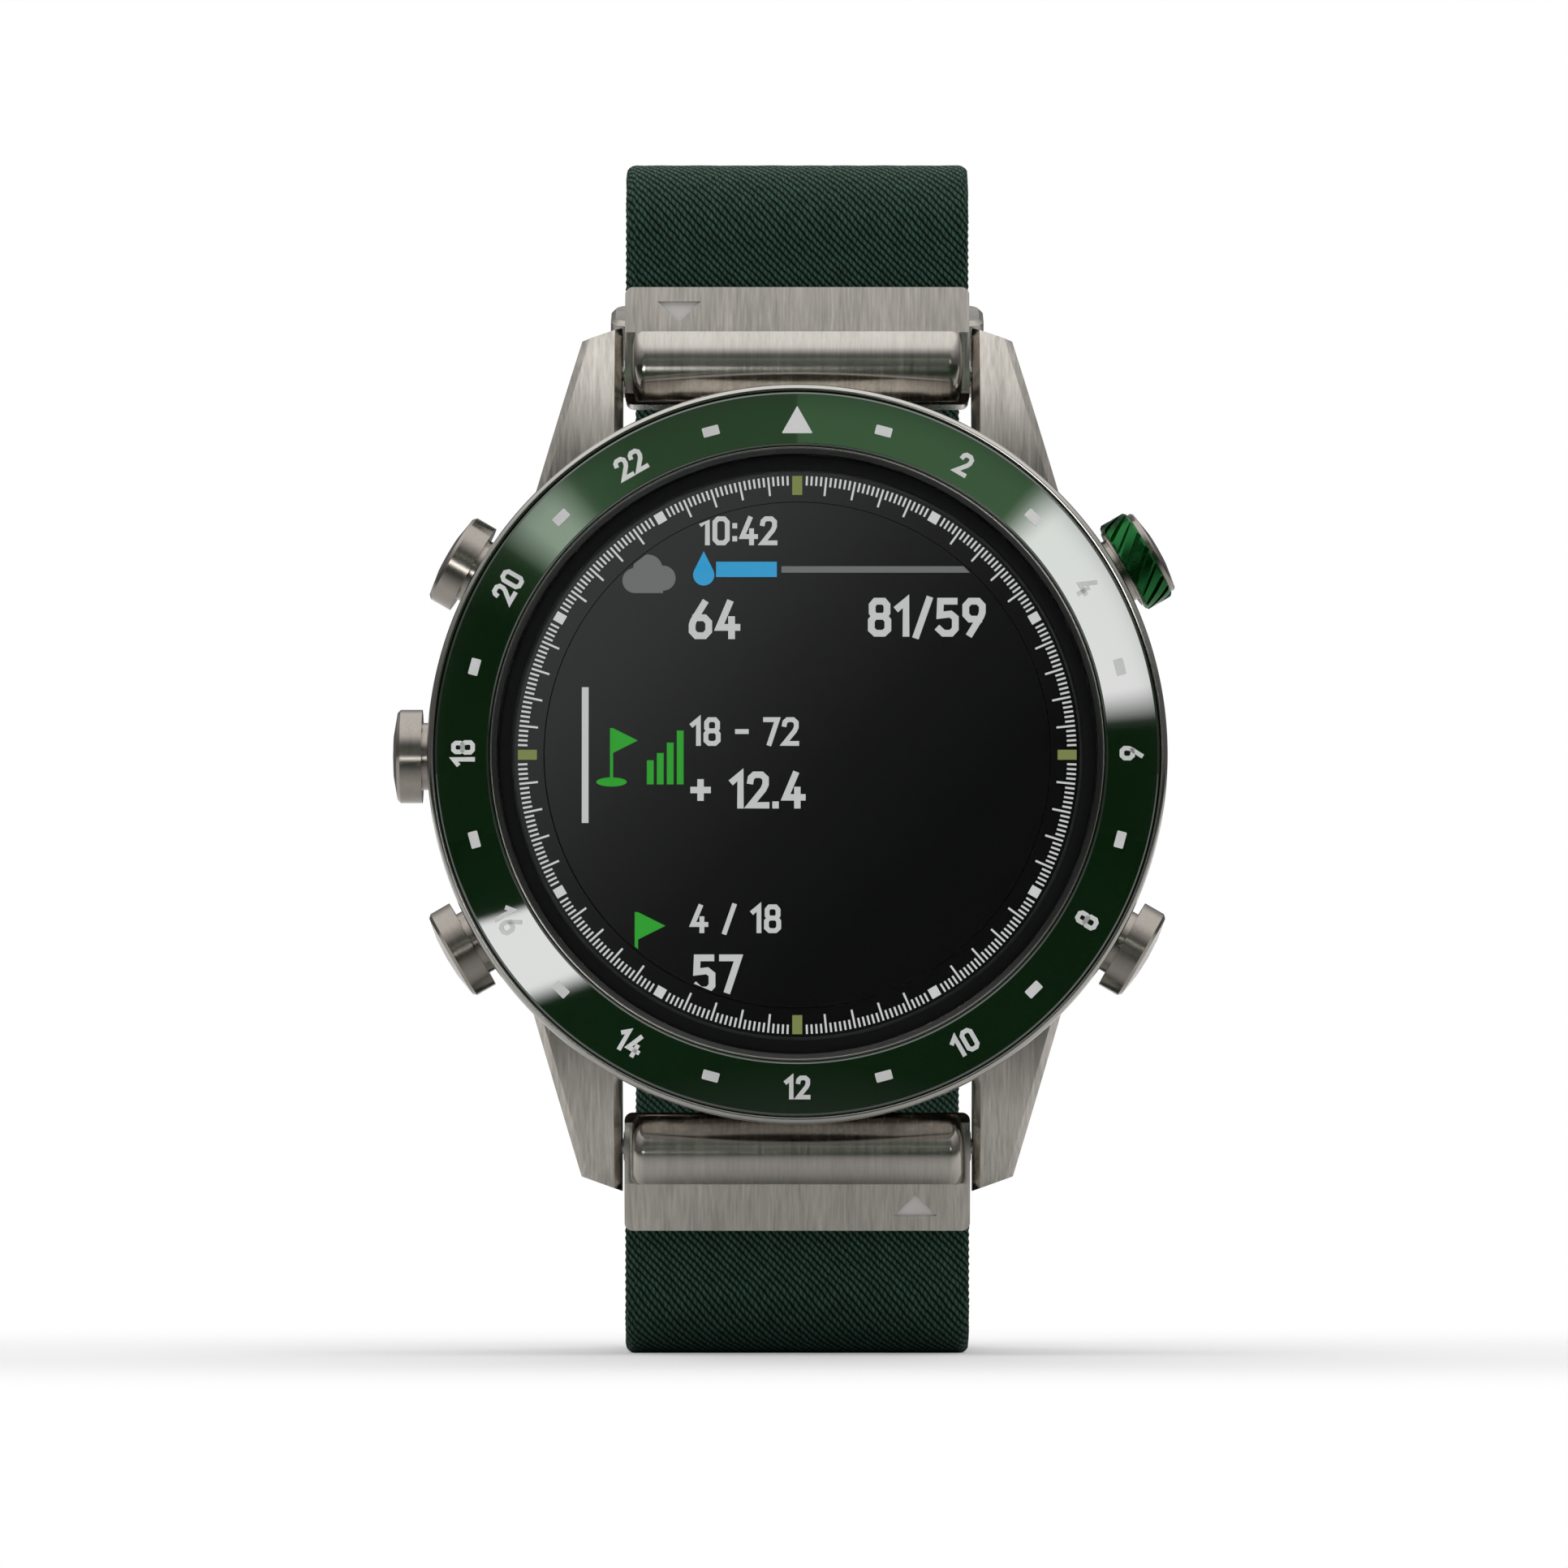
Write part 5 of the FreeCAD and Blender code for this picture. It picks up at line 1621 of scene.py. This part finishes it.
    def _fold(self) -> None:
        """The webbing's fold round the heel bar, open in the middle for the tongue."""
        bm = bmesh.new()
        layer = bm.loops.layers.uv.new("weave")
        gap = self.notch[1]
        reach = (self.width - gap) / 2
        for sign in (-1.0, 1.0):
            made = rod(bm, self.fold_r * MM, reach * MM, 40)
            lay(bm, made, "Y", math.pi / 2, at(sign * (gap + reach) / 2, *self.heel))
        centre = at(0.0, *self.heel)
        for loop in (loop for face in bm.faces for loop in face.loops):
            spoke = loop.vert.co - centre
            loop[layer].uv = (loop.vert.co.x / MM, math.atan2(spoke.z, spoke.y) * self.fold_r)
        piece("strap_fold", bm, STRAP_WEAVE, "watch", (), 60.0)

    def _stitches(self, upper: Route) -> None:
        """Two rows of thread beside the fold, on both faces of the strap.

        Args:
            upper: the upper half's centre line.
        """
        bm = bmesh.new()
        for back in self.stitch_rows:
            spot, normal = upper.at(upper.length - back)
            for i in range(self.stitch_count):
                x = (i - (self.stitch_count - 1) / 2) * self.stitch_pitch
                if abs(x) < self.notch[1] / 2 + self.stitch_clear:
                    continue
                for face in (1.0, -1.0):
                    place = spot + normal * face * (self.thick / 2 + self.stitch_lift)
                    made = bmesh.ops.create_icosphere(bm, subdivisions=2, radius=1.0)["verts"]
                    bmesh.ops.scale(bm, verts=made, vec=Vector(self.stitch_size) * MM)
                    bmesh.ops.translate(bm, verts=made, vec=at(x, place[0], place[1]))
        piece("strap_stitching", bm, THREAD, "watch")


@dataclass
class Buckle:
    """Tongue buckle and the metal loop that holds the tail."""

    frame_edge: float = 0.18
    tongue_edge: float = 0.15

    def build(self) -> None:
        """Rounds and dresses the buckle and the loop."""
        bm = eased_copy("buckle_frame", self.frame_edge)
        piece("buckle_frame_eased", bm, TITANIUM_ACROSS, "buckle", ["buckle_frame"])
        bm = eased_copy("buckle_tang", self.tongue_edge)
        piece("buckle_tongue", bm, TITANIUM, "tang", ["buckle_tang"])
        dress(["buckle_bar"], STEEL)
        dress(["keeper_loop"], TITANIUM_ACROSS)




def grey(level: float) -> tuple[float, float, float, float]:
    """A plain grey of a level from 0 to 1."""
    return (level, level, level, 1.0)


@dataclass
class Studio:
    """Floor, lights and camera."""

    distance: float = 640.0
    camera_height: float = -28.0
    aim: tuple[float, float] = (-0.82, -1.92)
    lens: float = 237.3
    floor_glow: float = 0.20
    floor_shade: float = 0.68
    floor_fade: tuple[float, float] = (0.03, 0.15)
    floor_dim: tuple[float, float] = (-0.13, -0.03)
    floor_stops: tuple[tuple[float, Colour], ...] = (
        (0.0, (0.02, 0.042, 0.022)),
        (0.40, (0.13, 0.13, 0.13)),
        (1.0, (0.70, 0.70, 0.70)),
    )
    fill: float = 0.5
    front_level: float = 0.12
    card_level: float = 5.0
    card_height: float = 0.044
    # Where the floor's bright patch starts and ends, each as a soft edge
    patch_along: tuple[tuple[float, float], ...] = ((-0.50, -0.44), (-0.215, -0.25))
    patch_across: tuple[tuple[float, float], ...] = ((-0.14, -0.12), (-0.015, -0.03))
    plain_floor: float = 0.7
    card_inner: tuple[float, float] = (0.185, 0.195)
    card_outer: tuple[float, float] = (0.222, 0.232)
    front_edge: tuple[float, float] = (0.36, 0.75)
    cards: tuple[tuple[float, Colour], ...] = (
        (0.0, (0.055, 0.115, 0.056)),
        (41.5, (0.060, 0.120, 0.061)),
        (47.5, (0.96, 1.0, 0.96)),
        (79.0, (1.0, 1.0, 1.0)),
        (84.5, (0.003, 0.006, 0.003)),
        (250.0, (0.003, 0.006, 0.003)),
        (295.0, (0.003, 0.005, 0.003)),
        (305.0, (0.016, 0.030, 0.016)),
        (311.0, (0.33, 0.42, 0.33)),
        (315.5, (0.33, 0.42, 0.33)),
        (321.0, (0.047, 0.090, 0.048)),
        (332.0, (0.030, 0.060, 0.030)),
    )
    sky: Points = ((0.0, 0.10), (0.30, 0.13), (0.48, 0.33), (0.64, 0.55), (0.80, 1.15), (1.0, 1.25))

    def build(self) -> None:
        """Sets the floor, the sky, the lamps and the camera."""
        self._floor()
        self._world()
        self._lamps()
        self._camera()

    def _floor(self) -> None:
        """A wide pale floor that keeps the object's shadow, with a dim look and a bright card in mirrors."""
        bpy.ops.mesh.primitive_grid_add(x_subdivisions=4, y_subdivisions=4, size=6.0, location=(0, 0, 0))
        floor = bpy.context.object
        floor.name = "studio_floor"
        graph = Graph(bpy.data.materials.new("studio_floor_white"))
        place = graph.place()
        x, y, _ = graph.split(place)
        near = graph.add("BsdfDiffuse", {"Color": grey(self.floor_shade)})
        lit = graph.both(near, graph.add("Emission", {"Strength": self.floor_glow}))
        distance = graph.add("VectorMath", {0: place}, operation="LENGTH").outputs["Value"]
        far = graph.add("Emission", {"Strength": 1.0})
        seen = graph.mix(graph.step(distance, *self.floor_fade), lit, far)
        shade = graph.ramp(graph.span(y, *self.floor_dim), self.floor_stops)
        lengthwise = graph.times(*(graph.step(y, *edge) for edge in self.patch_along))
        sideways = graph.times(*(graph.step(x, *edge) for edge in self.patch_across))
        card = graph.times(graph.times(lengthwise, sideways), self.card_level)
        dim = graph.add("BsdfDiffuse", {"Color": shade})
        mirrored = graph.both(dim, graph.add("Emission", {"Strength": card}))
        plain = graph.add("BsdfDiffuse", {"Color": grey(self.plain_floor)})
        self._by_ray(graph, plain, mirrored, seen)
        floor.data.materials.append(graph.owner)

    def _world(self) -> None:
        """White to the eye, an even fill as light, and a studio of cards and flags in mirrors."""
        world = bpy.data.worlds.new("studio_sky")
        bpy.context.scene.world = world
        graph = Graph(world, "OutputWorld")
        x, y, z = graph.split(graph.add("TexCoord").outputs["Generated"])
        ahead = graph.math("MAXIMUM", graph.times(y, -1.0), 0.001)
        u = graph.over(x, ahead)
        w = graph.less(graph.over(z, ahead), self.card_height)
        sweep = graph.math("FRACT", graph.plus(graph.over(graph.math("ARCTAN2", u, w), math.tau), 1.0))
        spread = graph.reach(u, w)
        cards = graph.ramp(sweep, [(angle / 360.0, colour) for angle, colour in self.cards])
        sky = graph.ramp(graph.span(z, -0.1, 1.0), [(p, (v,) * 3) for p, v in self.sky])
        front = grey(self.front_level)
        behind = graph.blend(graph.step(spread, *self.front_edge), front, sky)
        inner = graph.blend(graph.step(spread, *self.card_inner), front, graph.scaled(cards, self.card_level))
        mirrored = graph.blend(graph.step(spread, *self.card_outer), inner, behind)
        fill, seen = (
            graph.add("Background", {"Color": grey(1.0), "Strength": level}) for level in (self.fill, 1.0)
        )
        self._by_ray(graph, fill, graph.add("Background", {"Color": mirrored}), seen)

    def _by_ray(
        self, graph: Graph, light: bpy.types.Node, mirrored: bpy.types.Node, seen: bpy.types.Node
    ) -> None:
        """Shows a different look as light, in mirrors and to the camera.

        Args:
            graph: the nodes of the floor or of the world.
            light: what lights the object.
            mirrored: what shows in reflections.
            seen: what the camera sees.
        """
        path = graph.add("LightPath").outputs
        other = graph.mix(path["Is Glossy Ray"], light, mirrored)
        graph.surface(graph.mix(path["Is Camera Ray"], other, seen))

    def _lamp(
        self, name: str, place: Vector, target: Vector, size: tuple[float, float], power: float
    ) -> None:
        """An oblong soft lamp, unseen by the camera.

        Args:
            name: the lamp's name.
            place: where it hangs, in metres.
            target: where it points.
            size: its width and height in metres.
            power: its power in watts.
        """
        data = bpy.data.lights.new(name, "AREA")
        data.shape = "RECTANGLE"
        data.size, data.size_y = size
        data.energy = power
        lamp = bpy.data.objects.new(name, data)
        bpy.context.scene.collection.objects.link(lamp)
        lamp.location = place
        lamp.rotation_euler = (target - place).to_track_quat("-Z", "Y").to_euler()
        lamp.visible_camera = False
        lamp.visible_glossy = False

    def _lamps(self) -> None:
        """An overhead and a rear lamp for the light's direction and the soft shadow."""
        dial = at(0.0, 0.0, 0.0)
        self._lamp("overhead", Vector((0.0, -0.15, 1.1)), dial, (0.9, 0.7), 3.5)
        self._lamp("rear", Vector((0.0, 0.70, 0.50)), dial, (0.9, 0.5), 4.8)

    def _camera(self) -> None:
        """The camera at the photograph's place and angle."""
        data = bpy.data.cameras.new("front_camera")
        data.sensor_width = 36.0
        data.lens = self.lens
        data.clip_start = 0.01
        data.clip_end = 20.0
        camera = bpy.data.objects.new("front_camera", data)
        bpy.context.scene.collection.objects.link(camera)
        camera.location = at(0.0, self.camera_height, -self.distance)
        target = at(self.aim[0], self.aim[1], 0.0)
        camera.rotation_euler = (target - camera.location).to_track_quat("-Z", "Y").to_euler()
        bpy.context.scene.camera = camera


def main() -> None:
    """Builds and dresses the whole watch in its studio."""
    logging.basicConfig(level=logging.INFO, format="%(name)s %(message)s")
    for part in (Bezel(), Dial(), Case(), Pushers(), EndPieces(), Strap(), Buckle(), Studio()):
        LOG.info("building %s", type(part).__name__)
        part.build()
    bpy.context.scene.view_settings.view_transform = "Standard"


if __name__ == "__main__":
    main()
